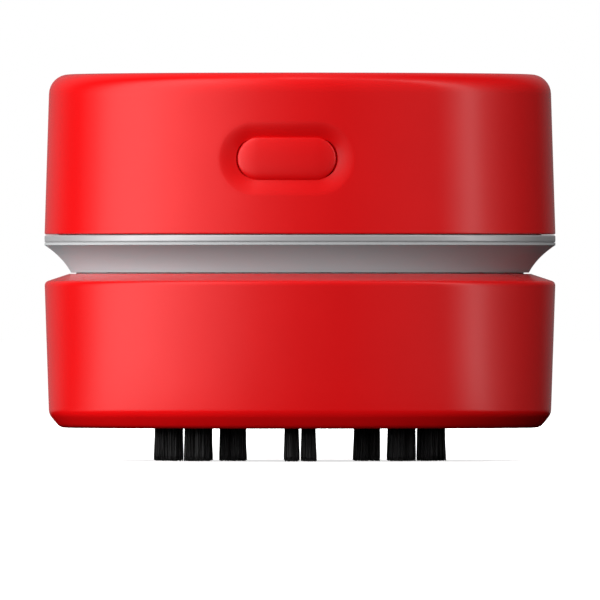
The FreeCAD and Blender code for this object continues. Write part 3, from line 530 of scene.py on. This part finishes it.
dress(pale_moulding("filter_plastic", colour(0.80, 0.80, 0.78), 0.50), "filter_frame")

filter_cloth = Finish("filter_cloth", Sheen_Weight=0.2)
thread_pitch = 0.42 * mm
warp = (filter_cloth.axis("X") * (math.pi / thread_pitch)).math("SINE").math("ABSOLUTE")
weft = (filter_cloth.axis("Y") * (math.pi / thread_pitch)).math("SINE").math("ABSOLUTE")
weave = warp.math("MAXIMUM", weft)
fluff = filter_cloth.noise(0.3 * mm, detail=4.0)
filter_cloth.wear(Base_Color=filter_cloth.blend(filter_cloth.steps(weave, 0.55, 0.9),
                                                colour(0.30, 0.30, 0.29), colour(0.80, 0.80, 0.77)),
                  Roughness=0.75 + 0.2 * (fluff - 0.5),
                  Normal=filter_cloth.bump(weave * 0.8 + fluff * 0.2, 0.08 * mm))
dress(filter_cloth, "filter_mesh")


# ---- Seal ring ----
# A soft grey silicone ring with a rounded section, moulded in one piece and pressed by hand into
# the groove of the neck.
seal_rubber = Finish("seal_rubber", IOR=1.42, Sheen_Weight=0.15)
dust = seal_rubber.noise(1.2 * mm, detail=4.0)
seal_rubber.wear(Base_Color=seal_rubber.blend(seal_rubber.steps(dust, 0.4, 0.8),
                                              colour(0.52, 0.52, 0.53), colour(0.62, 0.61, 0.60)),
                 Roughness=0.62 + 0.2 * (dust - 0.5), Normal=seal_rubber.bump(dust, 0.01 * mm))
seal_low, seal_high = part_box("seal_ring")
seal_inner = 35.05 * mm
seal = soft_outline([
    (seal_inner, seal_low.z, 0.2 * mm),
    (seal_high.x, seal_low.z, 0.5 * mm),
    (seal_high.x, seal_high.z, 0.5 * mm),
    (seal_inner, seal_high.z, 0.2 * mm),
], support=0.05 * mm)
piece("neck_gasket", [revolve(seal, 192)], seal_rubber, "neck_seal", "seal_rubber", "seal_ring")


# ---- Waist and trim ----
# The silver neck and flared cone that carry everything above, and the bright ring on its rim. The
# cone is given a cooler, blue-green colour than the neck below it and the rim's edge and the deck
# above: painted light, which cancels the red light that the cup throws onto the cone.
neck_tall = 8.7 * mm
rim_edge = 0.4 * mm
cone_foot_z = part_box("waist_ring")[0].z + neck_tall
rim_edge_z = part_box("trim_ring")[0].z - rim_edge
fade = 0.1 * mm
waist_silver = Finish("waist_silver", Specular_IOR_Level=0.25)
flake = waist_silver.noise(0.12 * mm, detail=2.0)
cloud = waist_silver.noise(7 * mm)
height = waist_silver.axis("Z")
# Painted light: the cone's colour is tinted blue-green against the red light bounced from the cup.
on_cone = (waist_silver.steps(height, cone_foot_z - fade, cone_foot_z + fade)
           - waist_silver.steps(height, rim_edge_z - fade, rim_edge_z + fade))
cone_tone_against_red_bounce = waist_silver.blend(flake, colour(0.345, 0.48, 0.495), colour(0.385, 0.52, 0.535))
deck_tone = waist_silver.blend(flake, colour(0.43, 0.435, 0.44), colour(0.47, 0.475, 0.48))
waist_silver.wear(Base_Color=waist_silver.blend(on_cone, deck_tone, cone_tone_against_red_bounce),
                  Roughness=0.46 + 0.08 * (cloud - 0.5),
                  Normal=waist_silver.bump(flake, 0.004 * mm))
dress(waist_silver, "waist_ring")

trim_silver = Finish("trim_silver", Metallic=0.4, IOR=1.5)
haze = trim_silver.noise(4 * mm)
trim_silver.wear(Base_Color=trim_silver.blend(haze, colour(0.55, 0.54, 0.55),
                                              colour(0.49, 0.49, 0.50)),
                 Roughness=0.30 + 0.10 * haze)
trim_low, trim_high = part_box("trim_ring")
trim_inner = body_radius - 2.28 * mm
trim = soft_outline([
    (trim_inner, trim_low.z, 0.1 * mm),
    (body_radius, trim_low.z, 0.3 * mm),
    (body_radius, trim_high.z, 0.3 * mm),
    (trim_inner, trim_high.z, 0.1 * mm),
], support=0.1 * mm)
piece("bright_trim", [revolve(trim, body_columns)], trim_silver, "power_head", "trim_silver",
      "trim_ring")


# ---- Fan shroud screws and fan ----
# The shroud closes the neck from below with three screws; the fan's swept blades are one piece of
# white ABS with its back plate, pressed on the motor's shaft.
shroud_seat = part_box("shroud_screws")[0].z + head_height
shroud_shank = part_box("shroud_screws")[1].z - shroud_seat
shroud_screw_ring = 30.1 * mm
screws("eye_screws", ring_places(shroud_screw_ring, 3, 30, shroud_seat), down, shroud_shank,
       "power_head", "shroud_screws")
dress(pale_moulding("fan_plastic", colour(0.78, 0.78, 0.76), 0.42), "fan_impeller")


# ---- Motor ----
# A small brushed direct-current motor: a drawn steel can with two flats and a rolled edge, two
# ferrite magnets, a three-pole wound armature, and a white nylon end cap that holds the brushes.
motor_steel = bare_metal("motor_steel", colour(0.58, 0.57, 0.55), 0.27, stretch=(1.0, 1.0, 0.15))
can_low, can_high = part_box("motor_can")
can_radius, can_flat = can_high.y, can_high.x
can_wall = 0.8 * mm
bush_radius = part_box("motor_bush")[1].x


def double_d(radius, flat, z):
    """Points of a round outline with two flat sides, with a point in each of its corners: at an
    angle a, they are min(radius, flat / |cos a|) from the middle."""
    corner = math.acos(flat / radius)
    ends = [-corner, corner, math.pi - corner, math.pi + corner, 2 * math.pi - corner]
    angles = np.concatenate([np.linspace(start, end, count, endpoint=False)
                             for start, end, count in zip(ends, ends[1:], (12, 60, 12, 60))])
    reach = np.minimum(radius, flat / np.maximum(np.abs(np.cos(angles)), 1e-6))
    return np.stack([reach * np.cos(angles), reach * np.sin(angles), z + 0 * angles], axis=1)


bend = 1.0 * mm
lip = 0.12 * mm
can_line = [(bend * (1 - math.sin(a)), can_low.z + bend * (1 - math.cos(a)))
            for a in np.radians(np.linspace(0, 90, 7))]
can_line += [(0, can_low.z + 1.5 * bend), (0, can_high.z - 2 * lip),
             (lip / 2, can_high.z - lip / 2), (2 * lip, can_high.z), (can_wall - lip, can_high.z),
             (can_wall, can_high.z - lip), (can_wall, can_low.z + 2 * can_wall),
             (2 * can_wall, can_low.z + can_wall)]
can_rows = [double_d(can_radius - inset, can_flat - inset, z) for inset, z in can_line]
can_rows += [double_d(bush_radius, bush_radius, z) for z in (can_low.z + can_wall, can_low.z)]
piece("motor_case", [(np.concatenate(can_rows),
                      grid_faces(len(can_rows), len(can_rows[0]), wrap_rows=True))],
      motor_steel, "power_head", "motor_steel", "motor_can")

dress(bare_metal("ferrite", colour(0.07, 0.07, 0.075), 0.62), "motor_magnets")
dress(bare_metal("bush_brass", colour(0.66, 0.47, 0.20), 0.36), "motor_bush", "motor_terminals")
dress(pale_moulding("cap_plastic", colour(0.82, 0.81, 0.77), 0.45), "motor_end_cap")
dress(bare_metal("shaft_steel", colour(0.66, 0.66, 0.67), 0.18, stretch=(1.0, 1.0, 6.0)),
      "motor_shaft")

core_steel = Finish("core_steel", Metallic=1.0)
sheet = 0.5 * mm
layers = (core_steel.axis("Z") * (math.pi / sheet)).math("SINE").math("ABSOLUTE")
stain = core_steel.noise(1.5 * mm, detail=3.0)
core_steel.wear(Base_Color=core_steel.blend(stain, colour(0.36, 0.36, 0.37),
                                            colour(0.22, 0.21, 0.20)),
                Roughness=0.45 + 0.2 * (stain - 0.5),
                Normal=core_steel.bump(core_steel.steps(layers, 0.0, 0.25), 0.04 * mm))
dress(core_steel, "armature_core")

copper = Finish("copper", Metallic=1.0, Coat_Weight=0.6, Coat_Roughness=0.12)
wire_pitch = 0.3 * mm
laid = copper.axis("Z") + copper.noise(2 * mm) * (0.2 * mm)
turns = (laid * (math.pi / wire_pitch)).math("SINE").math("ABSOLUTE")
copper.wear(Base_Color=copper.blend(turns, colour(0.36, 0.10, 0.04), colour(0.72, 0.28, 0.12)),
            Roughness=0.30 + 0.1 * turns, Normal=copper.bump(turns, 0.08 * mm))
dress(copper, "armature_coils", "commutator")

deck_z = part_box("collar_screws")[0].z
collar_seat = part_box("collar_screws")[1].z - head_height
ear_offset = 14.2 * mm
screws("ear_screws", [(0, y, collar_seat) for y in (-ear_offset, ear_offset)], up,
       collar_seat - deck_z, "power_head", "collar_screws")


# ---- Battery tray and cells ----
# The tray is screwed to the deck with four screws. Two AA cells lie in it, steel cans in a plain
# shrunk sleeve, between nickel-plated springs and plates.
tray_low, tray_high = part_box("tray_screws")
tray_seat = tray_high.z - head_height
tray_x = tray_high.x - head_radius
tray_y = tray_high.y - head_radius
screws("bar_screws", [(x, y, tray_seat) for x in (-tray_x, tray_x) for y in (-tray_y, tray_y)],
       up, tray_seat - tray_low.z, "power_head", "tray_screws")

cell_low, cell_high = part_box("right_cell")
cell_radius = 7.1 * mm
cell_x = (cell_low.x + cell_high.x) / 2
cell_z = (cell_low.z + cell_high.z) / 2
nub_radius = 2.7 * mm
nub = 1.1 * mm
cell_length = cell_high.y - cell_low.y - nub
sleeve_lip = 5.6 * mm
end_sink = 0.15 * mm
shoulder_sink = 0.25 * mm
band_end = 12 * mm
stripe_end = 13 * mm

cell_sleeve = Finish("cell_sleeve", IOR=1.5)
side = cell_sleeve.axis("X")
rise = cell_sleeve.axis("Z") - cell_z
off = side.math("ABSOLUTE") - cell_x
reach = (off * off + rise * rise).math("SQRT")
wrapped = cell_sleeve.steps(reach, sleeve_lip - 0.08 * mm, sleeve_lip + 0.02 * mm)
to_tip = 0 - cell_sleeve.axis("Y") * side.math("SIGN")
band = cell_sleeve.steps(to_tip, band_end - fade, band_end + fade)
stripe = band - cell_sleeve.steps(to_tip, stripe_end - fade, stripe_end + fade)
scuffs = cell_sleeve.noise(0.6 * mm, detail=4.0)
sleeve_colour = cell_sleeve.blend(band, colour(0.055, 0.105, 0.19), colour(0.36, 0.37, 0.38))
sleeve_colour = cell_sleeve.blend(stripe, sleeve_colour, colour(0.75, 0.75, 0.75))
cell_sleeve.wear(Base_Color=cell_sleeve.blend(wrapped, colour(0.62, 0.62, 0.61), sleeve_colour),
                 Metallic=1 - wrapped, Roughness=0.30 + 0.12 * (scuffs - 0.5),
                 Normal=cell_sleeve.bump(scuffs, 0.002 * mm))

cell_outline = soft_outline([
    (0, end_sink, 0),
    (sleeve_lip, end_sink, 0.05 * mm),
    (sleeve_lip, 0, 0.06 * mm),
    (cell_radius, 0, 0.6 * mm),
    (cell_radius, cell_length, 0.6 * mm),
    (sleeve_lip, cell_length, 0.06 * mm),
    (sleeve_lip, cell_length - shoulder_sink, 0.05 * mm),
    (nub_radius + 0.2 * mm, cell_length - shoulder_sink, 0.15 * mm),
    (nub_radius, cell_length + nub, 0.4 * mm),
    (0, cell_length + nub, 0),
], support=0.1 * mm, steps=6)
for name, way in (("left_battery", 1), ("right_battery", -1)):
    points, faces = revolve(cell_outline, 128, closed=False)
    points = aimed(points, (-way * cell_x, -way * cell_high.y, cell_z), (0, way, 0))
    piece(name, [(points, faces)], cell_sleeve, "power_head", "cell_sleeve",
          name.replace("battery", "cell"))

contact_nickel = bare_metal("contact_nickel", colour(0.66, 0.64, 0.60), 0.24,
                            stretch=(0.3, 1.0, 1.0))
dress(contact_nickel, "battery_springs", "link_plate", "negative_plate", "positive_plate",
      "switch_terminals")


# ---- Switch and leads ----
# A latching push switch in a pocket of the tray, and soft silicone wires soldered to its pins, to
# the contacts and to the motor.
dress(black_moulding("switch_plastic", 0.36), "switch_body")
dress(pale_moulding("plunger_plastic", colour(0.82, 0.81, 0.77), 0.40), "switch_plunger")


def insulation(name, base):
    """Soft silicone insulation with a waxy surface that has picked up a little dust."""
    finish = Finish(name, IOR=1.43, Sheen_Weight=0.1)
    film = finish.noise(0.8 * mm, detail=3.0)
    dusty = colour(*[0.9 * part + 0.015 for part in base[:3]])
    return finish.wear(Base_Color=finish.blend(film, base, dusty),
                       Roughness=0.42 + 0.2 * (film - 0.5), Normal=finish.bump(film, 0.008 * mm))


dress(insulation("lead_red", colour(0.50, 0.012, 0.012)), "red_leads")
dress(insulation("lead_black", colour(0.012, 0.012, 0.012)), "black_lead")


# ---- Top cover ----
# The upper half of the body: a drafted red ABS cup, pushed over the spigot of the waist, with three
# keys inside, a soft-edged dish in front for the power button, and two bosses for the plate behind.
cover_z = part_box("upper_shell")[0].z
top_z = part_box("upper_shell")[1].z
roof = 1.9 * mm
top_draft = 0.8 * mm
button_turn = -3.1
button_z = (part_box("power_button")[0].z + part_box("power_button")[1].z) / 2
button_size = np.array([15.7 * mm, 6.8 * mm])
opening_size = button_size + 0.4 * mm
dish_size = np.array([21.8 * mm, 11.8 * mm])
dish_depth = 1.0 * mm
pill_points = 128
patch_half = 20
patch_rows = 24
patch_low = button_z - 8.0 * mm
patch_high = button_z + 8.0 * mm
boss_offset = 12.4 * mm
boss_root = 37.6 * mm
boss_end = 34.05 * mm
boss_radius = 2.1 * mm
key_half = 0.8 * mm
key_root = cavity_radius + 1.2 * mm
key_tip = 37.2 * mm
key_low, key_high = 36.7 * mm, 39.8 * mm


def skin_radius(z):
    """Outer radius of the tapering cover at a height."""
    return body_radius - top_draft * (z - cover_z) / (top_z - cover_z)


def inner_radius(z):
    """Inner radius of the cover at a height."""
    return skin_radius(z) - wall


def pill(size):
    """Points of a pill outline in x and z, equally spaced, anticlockwise from its right end:
    (c + r cos a, r sin a). Along the outline, the angle a grows round each end, and the centre c
    moves along each straight side."""
    width, tall = size
    r, half = tall / 2, (width - tall) / 2
    quarter = math.pi * r / 2
    knots = np.cumsum([0, quarter, 2 * half, 2 * quarter, 2 * half, quarter])
    s = np.arange(pill_points) / pill_points * knots[-1]
    c = np.interp(s, knots, [half, half, -half, -half, half, half])
    a = np.interp(s, knots, np.radians([0, 90, 90, 270, 270, 360]))
    return np.stack([c + r * np.cos(a), r * np.sin(a)], axis=1)


def patch_rim(radius_at):
    """The rectangle round the dish, in x and z, on the grid lines of the cover's wall."""
    column = np.arange(-patch_half, patch_half + 1)
    row = np.arange(patch_rows + 1)
    up = patch_rows // 2
    path = [(patch_half, i) for i in row[up:]]
    path += [(j, patch_rows) for j in column[::-1][1:]]
    path += [(-patch_half, i) for i in row[::-1][1:]]
    path += [(j, 0) for j in column[1:]]
    path += [(patch_half, i) for i in row[1:up]]
    angle = np.radians([j for j, i in path])
    z = patch_low + (patch_high - patch_low) * np.array([i for j, i in path]) / patch_rows
    return np.stack([radius_at(z) * np.sin(angle), z - button_z], axis=1)


def on_wall(outline, radius_at, depth):
    """Points of an outline in x and z, laid on the round wall at a depth below its skin: each
    gets y = -sqrt(R(z)^2 - x^2), R being the wall's radius less the depth."""
    x, z = outline[:, 0], outline[:, 1] + button_z
    radius = radius_at(z) - depth
    return np.stack([x, -np.sqrt(radius ** 2 - x ** 2), z], axis=1)


# The dish's patch, loop by loop: the flat wall from the patch's rim to the dish's brim, the slope,
# the rounded edge of the opening, the opening's wall, and the cover's inside out to the rim again.
rim, brim = patch_rim(skin_radius), pill(dish_size)
inner_rim, mouth = patch_rim(inner_radius), pill(opening_size + 0.2 * mm)
slope_width = (dish_size[0] - opening_size[0]) / 2 - 0.15 * mm
slope_power = 1.4
loops = [on_wall(rim + (brim - rim) * t, skin_radius, 0) for t in (0, 0.3, 0.6, 0.85, 1)]
loops += [on_wall(pill(dish_size - 2 * slope_width * t), skin_radius, dish_depth * t ** slope_power)
          for t in np.linspace(0, 1, 15)[1:]]
loops += [on_wall(pill(opening_size + 2 * inset * mm), skin_radius, dish_depth + fall * mm)
          for inset, fall in ((0.06, 0.02), (0.02, 0.07), (0.0, 0.15))]
loops.append(on_wall(pill(opening_size), skin_radius, wall - 0.05 * mm))
loops += [on_wall(mouth + (inner_rim - mouth) * t, inner_radius, 0) for t in (0, 0.15, 0.5, 1)]
patch = np.concatenate(loops)


def drafted_skin(outline, columns=360):
    """The cover's wall as a revolved grid, a column to each degree, without the cells that the
    dish's patch takes. Cells further in than the wall belong to the roof, and stay."""
    points, faces = revolve(outline, columns, closed=False)
    x, y, z = points[faces].mean(axis=1).T
    in_patch = (np.abs(np.degrees(np.arctan2(x, -y))) < patch_half) & (z > patch_low) & (z < patch_high)
    in_wall = np.hypot(x, y) > inner_radius(top_z) - 1.0 * mm
    return points, faces[~(in_patch & in_wall)]


edge = soft_outline([
    (0, top_z, 0),
    (skin_radius(top_z), top_z, 3.2 * mm),
    (body_radius, cover_z, 0.25 * mm),
    (inner_radius(cover_z), cover_z, 0.25 * mm),
    (inner_radius(top_z - roof), top_z - roof, 1.0 * mm),
    (0, top_z - roof, 0),
], steps=8)
row_z = patch_low + (patch_high - patch_low) * np.arange(patch_rows + 1) / patch_rows
turn_at = int(np.argmin(np.abs(edge[:, 1] - cover_z) + np.abs(edge[:, 0] - body_radius)))
outer, inner = edge[:turn_at + 1], edge[turn_at + 1:]
outer_line = np.array([p for p in outer if p[1] > patch_high]
                      + [(skin_radius(z), z) for z in row_z[::-1]]
                      + [p for p in outer if p[1] < patch_low])
inner_line = np.array([outer_line[-1]] + [p for p in inner if p[1] < patch_low]
                      + [(inner_radius(z), z) for z in row_z]
                      + [p for p in inner if p[1] > patch_high])
front_surfaces = [drafted_skin(outer_line), drafted_skin(inner_line),
                  (patch, grid_faces(len(loops), pill_points))]
front_surfaces += [rod((x, -boss_root, button_z), (x, -boss_end, button_z), boss_radius)
                   for x in (-boss_offset, boss_offset)]
key = block((-key_half, -key_root, key_low), (key_half, -key_tip, key_high))
cover_surfaces = [turned_surface(surface, button_turn) for surface in front_surfaces]
cover_surfaces += [turned_surface(key, 60 + 120 * i) for i in range(3)]
piece("top_shell", cover_surfaces, shell_red, "top_cover", "shell_red", "upper_shell")


# ---- Button retainer ----
# A black ABS plate behind the button, which guides the button's stem and carries its spring. Two
# steel screws hold it on the bosses of the cover.
inward = (-math.sin(math.radians(button_turn)), math.cos(math.radians(button_turn)), 0)
retainer_back = 32.83 * mm
retainer_shank = 3.18 * mm
retainer_spots = np.array([(x, -retainer_back, button_z) for x in (-boss_offset, boss_offset)])
screws("plate_back_screws", turned(retainer_spots, button_turn), inward, retainer_shank,
       "top_cover", "retainer_screws")


# ---- Power button ----
# A red ABS pill with a softly domed edge, a flange that keeps it in its opening, and a stem that
# pushes the switch.
button_red = red_plastic("button_red", red, deep_red, 0.22)
button_face = skin_radius(button_z) - 0.15 * mm
dome_width = button_size[1] / 2 - 0.3 * mm
dome_depth = 0.7 * mm
flange_size = button_size + 2.4 * mm
flange_front = 38.33 * mm
flange_back = 37.33 * mm
neck_end = 38.4 * mm
stem_root = 37.9 * mm
stem_tip = 31.33 * mm
stem_radius = 2.0 * mm


def button_round(z):
    """Radius of the button's face, the same at every height."""
    return button_face + 0 * z


loops = [on_wall(pill(button_size - 2 * dome_width * (1 - math.sin(a))), button_round,
                 dome_depth * (1 - math.cos(a))) for a in np.radians(np.linspace(0, 90, 19))]
core_size = (6.0 * mm, 1.0 * mm)
loops += [on_wall(pill(size), button_round, button_face - radius)
          for size, radius in ((button_size, neck_end), (flange_size, flange_front),
                               (flange_size, flange_back), (core_size, flange_back))]
first = np.arange(pill_points // 2)
cap = np.stack([first, first + 1, -first - 1, -first], axis=1) % pill_points
stem = rod((0, -stem_root, button_z), (0, -stem_tip, button_z), stem_radius)
button_surfaces = [(np.concatenate(loops), grid_faces(len(loops), pill_points)), (loops[0], cap),
                   (loops[-1], cap), stem]
button_surfaces = [turned_surface(surface, button_turn) for surface in button_surfaces]
piece("pill_button", button_surfaces, button_red, "push_button", "button_red", "power_button")


# ---- Button spring ----
# Three turns of nickel-plated steel wire between the retainer and the button's flange.
spring_radius = 2.9 * mm
spring_wire = 0.2 * mm
spring_turns = 3
spring_foot = 34.13 * mm
spring_head = 37.1 * mm


def wound_wire(radius, wire, turns, start, end, rows_per_turn=48, columns=12):
    """A wire on a helix about the Y axis: circles square to the helix, from one y to another.
    Each circle's centre is (radius cos a, -y, radius sin a), with y growing evenly with a."""
    count = turns * rows_per_turn + 1
    a = 2 * math.pi * turns * np.linspace(0, 1, count)[:, None]
    out = np.concatenate([np.cos(a), 0 * a, np.sin(a)], axis=1)
    around = np.concatenate([-np.sin(a), 0 * a, np.cos(a)], axis=1)
    centre = radius * out - np.array([0, 1, 0]) * (start + (end - start) * a / a[-1])
    pitch = (end - start) / (2 * math.pi * turns)
    along = radius * around - pitch * np.array([0, 1, 0])
    along /= np.linalg.norm(along, axis=1, keepdims=True)
    other = np.cross(along, out)
    b = np.linspace(0, 2 * math.pi, columns, endpoint=False)[None, :, None]
    reach = np.full((count + 2, 1, 1), wire)
    reach[0] = reach[-1] = 0
    rows = [0, *range(count), count - 1]
    circle = np.cos(b) * out[rows][:, None] + np.sin(b) * other[rows][:, None]
    points = centre[rows][:, None] + reach * circle
    return points.reshape(-1, 3), grid_faces(count + 2, columns)


points, faces = wound_wire(spring_radius, spring_wire, spring_turns, spring_foot + spring_wire,
                           spring_head - spring_wire)
points = turned(points + np.array([0, 0, button_z]), button_turn)
cap_spring = piece("cap_spring", [(points, faces)], contact_nickel, "top_cover", "contact_nickel",
                   "button_spring")
spring_base = turned(np.array([0, -spring_foot, button_z]), button_turn)
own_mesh(cap_spring)


# ---- Studio ----
# A white floor and surroundings with the soft shadow of the object on the floor. Lamps light the
# object from the left, front, right, back and above, and a ring of cards gives its reflections.
white = colour(1, 1, 1)


def shown_or_hidden(nodes, shown, hidden):
    """One shader for the rays that show a background, and another for those that light things."""
    seen = nodes.node("LightPath", output="Is Camera Ray")
    for ray in ("Is Glossy Ray", "Is Transmission Ray"):
        seen = seen.math("MAXIMUM", nodes.node("LightPath", output=ray))
    return nodes.node("MixShader", values={0: seen, 1: hidden, 2: shown})


def staged(name, points, faces, paint):
    """A stage object of one mesh in one paint."""
    mesh = bpy.data.meshes.new(name)
    mesh.from_pydata(points, [], faces)
    mesh.materials.append(paint.material)
    made = bpy.data.objects.new(name, mesh)
    bpy.context.scene.collection.objects.link(made)
    return made


world = bpy.data.worlds.new("surroundings")
bpy.context.scene.world = world
world.use_nodes = True
world.node_tree.nodes.clear()
air = Nodes(world.node_tree)
backdrop = air.node("Background", values={"Color": white, "Strength": 1.0})
ambient_strength = 0.07
ambient = air.node("Background", values={"Color": white, "Strength": ambient_strength})
air.node("OutputWorld", values={"Surface": shown_or_hidden(air, backdrop, ambient)})

# The floor that is shown glows a little less near the object, so that the shadow can be seen, and
# is pure white further out. The floor that throws light back at the object is dark grey.
floor_reach = 12.0
near, far = 0.08, 0.60
near_glow = 0.72
floor_paint = Finish("floor_paint")
floor_paint.tree.nodes.clear()
away = floor_paint.node("VectorMath", {"operation": "LENGTH"}, {0: floor_paint.place()},
                        output="Value")
whiter = floor_paint.steps(away, near, far, near_glow, 1.0)
emission = floor_paint.node("Emission", values={"Color": white, "Strength": whiter})
pale = floor_paint.node("BsdfDiffuse", values={"Color": colour(0.6, 0.6, 0.6)})
bright = floor_paint.node("AddShader", values={0: pale, 1: emission})
grey = floor_paint.node("BsdfDiffuse", values={"Color": colour(0.08, 0.08, 0.08)})
floor_paint.node("OutputMaterial", values={"Surface": shown_or_hidden(floor_paint, bright, grey)})
corners = [(-1, -1), (1, -1), (1, 1), (-1, 1)]
staged("floor", [(floor_reach * x, floor_reach * y, 0) for x, y in corners], [(0, 1, 2, 3)],
       floor_paint)

# How bright the cards are at each azimuth, 0 in front and growing to the right. They stand in a
# ring, and their foot lies on the floor, where it fades out under the object. Each row of the ring
# has its radius and height, its share of that brightness, and a light of its own: the dim upper
# row gives the gloss its light from above.
card_glow = [(-180, 0.20), (-146, 0.16), (-138, 0.12), (-129, 0.04), (-119, 0.04), (-107, 0.45),
             (-98, 1.25), (-90, 1.75), (-80, 2.05), (-72, 2.15), (-56, 1.75), (-46, 1.35),
             (-37, 1.1), (-18, 0.48), (0, 0.22), (18, 0.15), (36, 0.24), (56, 0.30), (66, 0.26),
             (74, 0.8), (83, 1.9), (92, 0.6), (103, 0.22), (110, 0.13), (118, 0.07), (128, 0.05),
             (139, 0.03), (180, 0.20)]
card_radius = 1.5
card_foot = 0.0001
under_reach = 0.09
card_rows = [(under_reach, card_foot, 0, 0), (0.19, card_foot, 1, 0), (card_radius, card_foot, 1, 0),
             (card_radius, 2.4, 1, 0), (0.4, 3.4, 0, 0.35)]
card_paint = Finish("card_paint")
card_paint.tree.nodes.clear()
level = card_paint.node("Attribute", {"attribute_name": "shine"}, output="Fac")
light = card_paint.node("Emission", values={"Color": white, "Strength": level})
card_paint.node("OutputMaterial", values={"Surface": light})
card_steps = 181
angle = np.radians(np.linspace(-180, 180, card_steps))
points = np.concatenate([np.stack([r * np.sin(angle), -r * np.cos(angle), z + 0 * angle], axis=1)
                         for r, z, share, lift in card_rows])
card_faces = grid_faces(len(card_rows), card_steps, wrap_columns=False)
cards = staged("card_ring", points, card_faces.tolist(), card_paint)
azimuths, levels = zip(*card_glow)
glow = np.interp(np.degrees(angle), azimuths, levels)
shine = cards.data.attributes.new("shine", "FLOAT", "POINT")
shine.data.foreach_set("value", np.concatenate([share * glow + lift
                                               for r, z, share, lift in card_rows]))
# The black card under the object is seen only in reflections. It is painted shade: it stands for the
# floor in the object's shadow, in the gloss of the lower walls.
black_paint = Finish("black_paint", Base_Color=colour(0, 0, 0), Specular_IOR_Level=0.0)
under = staged("under_card", [(under_reach * x, under_reach * y, card_foot / 2) for x, y in corners],
               [(0, 1, 2, 3)], black_paint)
for card in (cards, under):
    card.visible_camera = False
    card.visible_diffuse = False
    card.visible_shadow = False


lamp_distance = 1.3
lamp_aim_z = 0.03


def lamp(name, azimuth, elevation, width, height, power):
    """A soft area lamp, in metres and watts, that points at the object. Without multiple
    importance sampling it stays out of the gloss, where its rectangle would show."""
    data = bpy.data.lights.new(name, "AREA")
    data.shape = "RECTANGLE"
    data.size = width
    data.size_y = height
    data.energy = power
    data.cycles.use_multiple_importance_sampling = False
    made = bpy.data.objects.new(name, data)
    bpy.context.scene.collection.objects.link(made)
    a, e = math.radians(azimuth), math.radians(elevation)
    made.location = (lamp_distance * math.cos(e) * math.sin(a),
                     -lamp_distance * math.cos(e) * math.cos(a),
                     lamp_distance * math.sin(e) + lamp_aim_z)
    made.rotation_euler = (math.pi / 2 - e, 0, a)
    made.visible_camera = False
    made.visible_glossy = False


lamp("left_lamp", -89, 18, 0.8, 0.7, 21)
lamp("front_lamp", -9, 19, 0.9, 0.8, 13.9)
lamp("right_lamp", 78, 52, 0.8, 0.7, 6)
lamp("back_lamp", 178, 20, 0.9, 0.9, 12)
lamp("top_lamp", 0, 89, 1.0, 1.0, 4.5)

frame_width = 96.3 * mm
eye_height = 25.8 * mm
camera_data = bpy.data.cameras.new("camera")
camera_data.lens = 1600
camera_data.sensor_width = 36
camera_data.clip_end = 40
distance = frame_width / (camera_data.sensor_width / camera_data.lens)
camera = bpy.data.objects.new("camera", camera_data)
bpy.context.scene.collection.objects.link(camera)
camera.location = (0, -distance, eye_height)
camera.rotation_euler = (math.pi / 2, 0, 0)
bpy.context.scene.camera = camera
bpy.context.scene.view_settings.view_transform = "Standard"
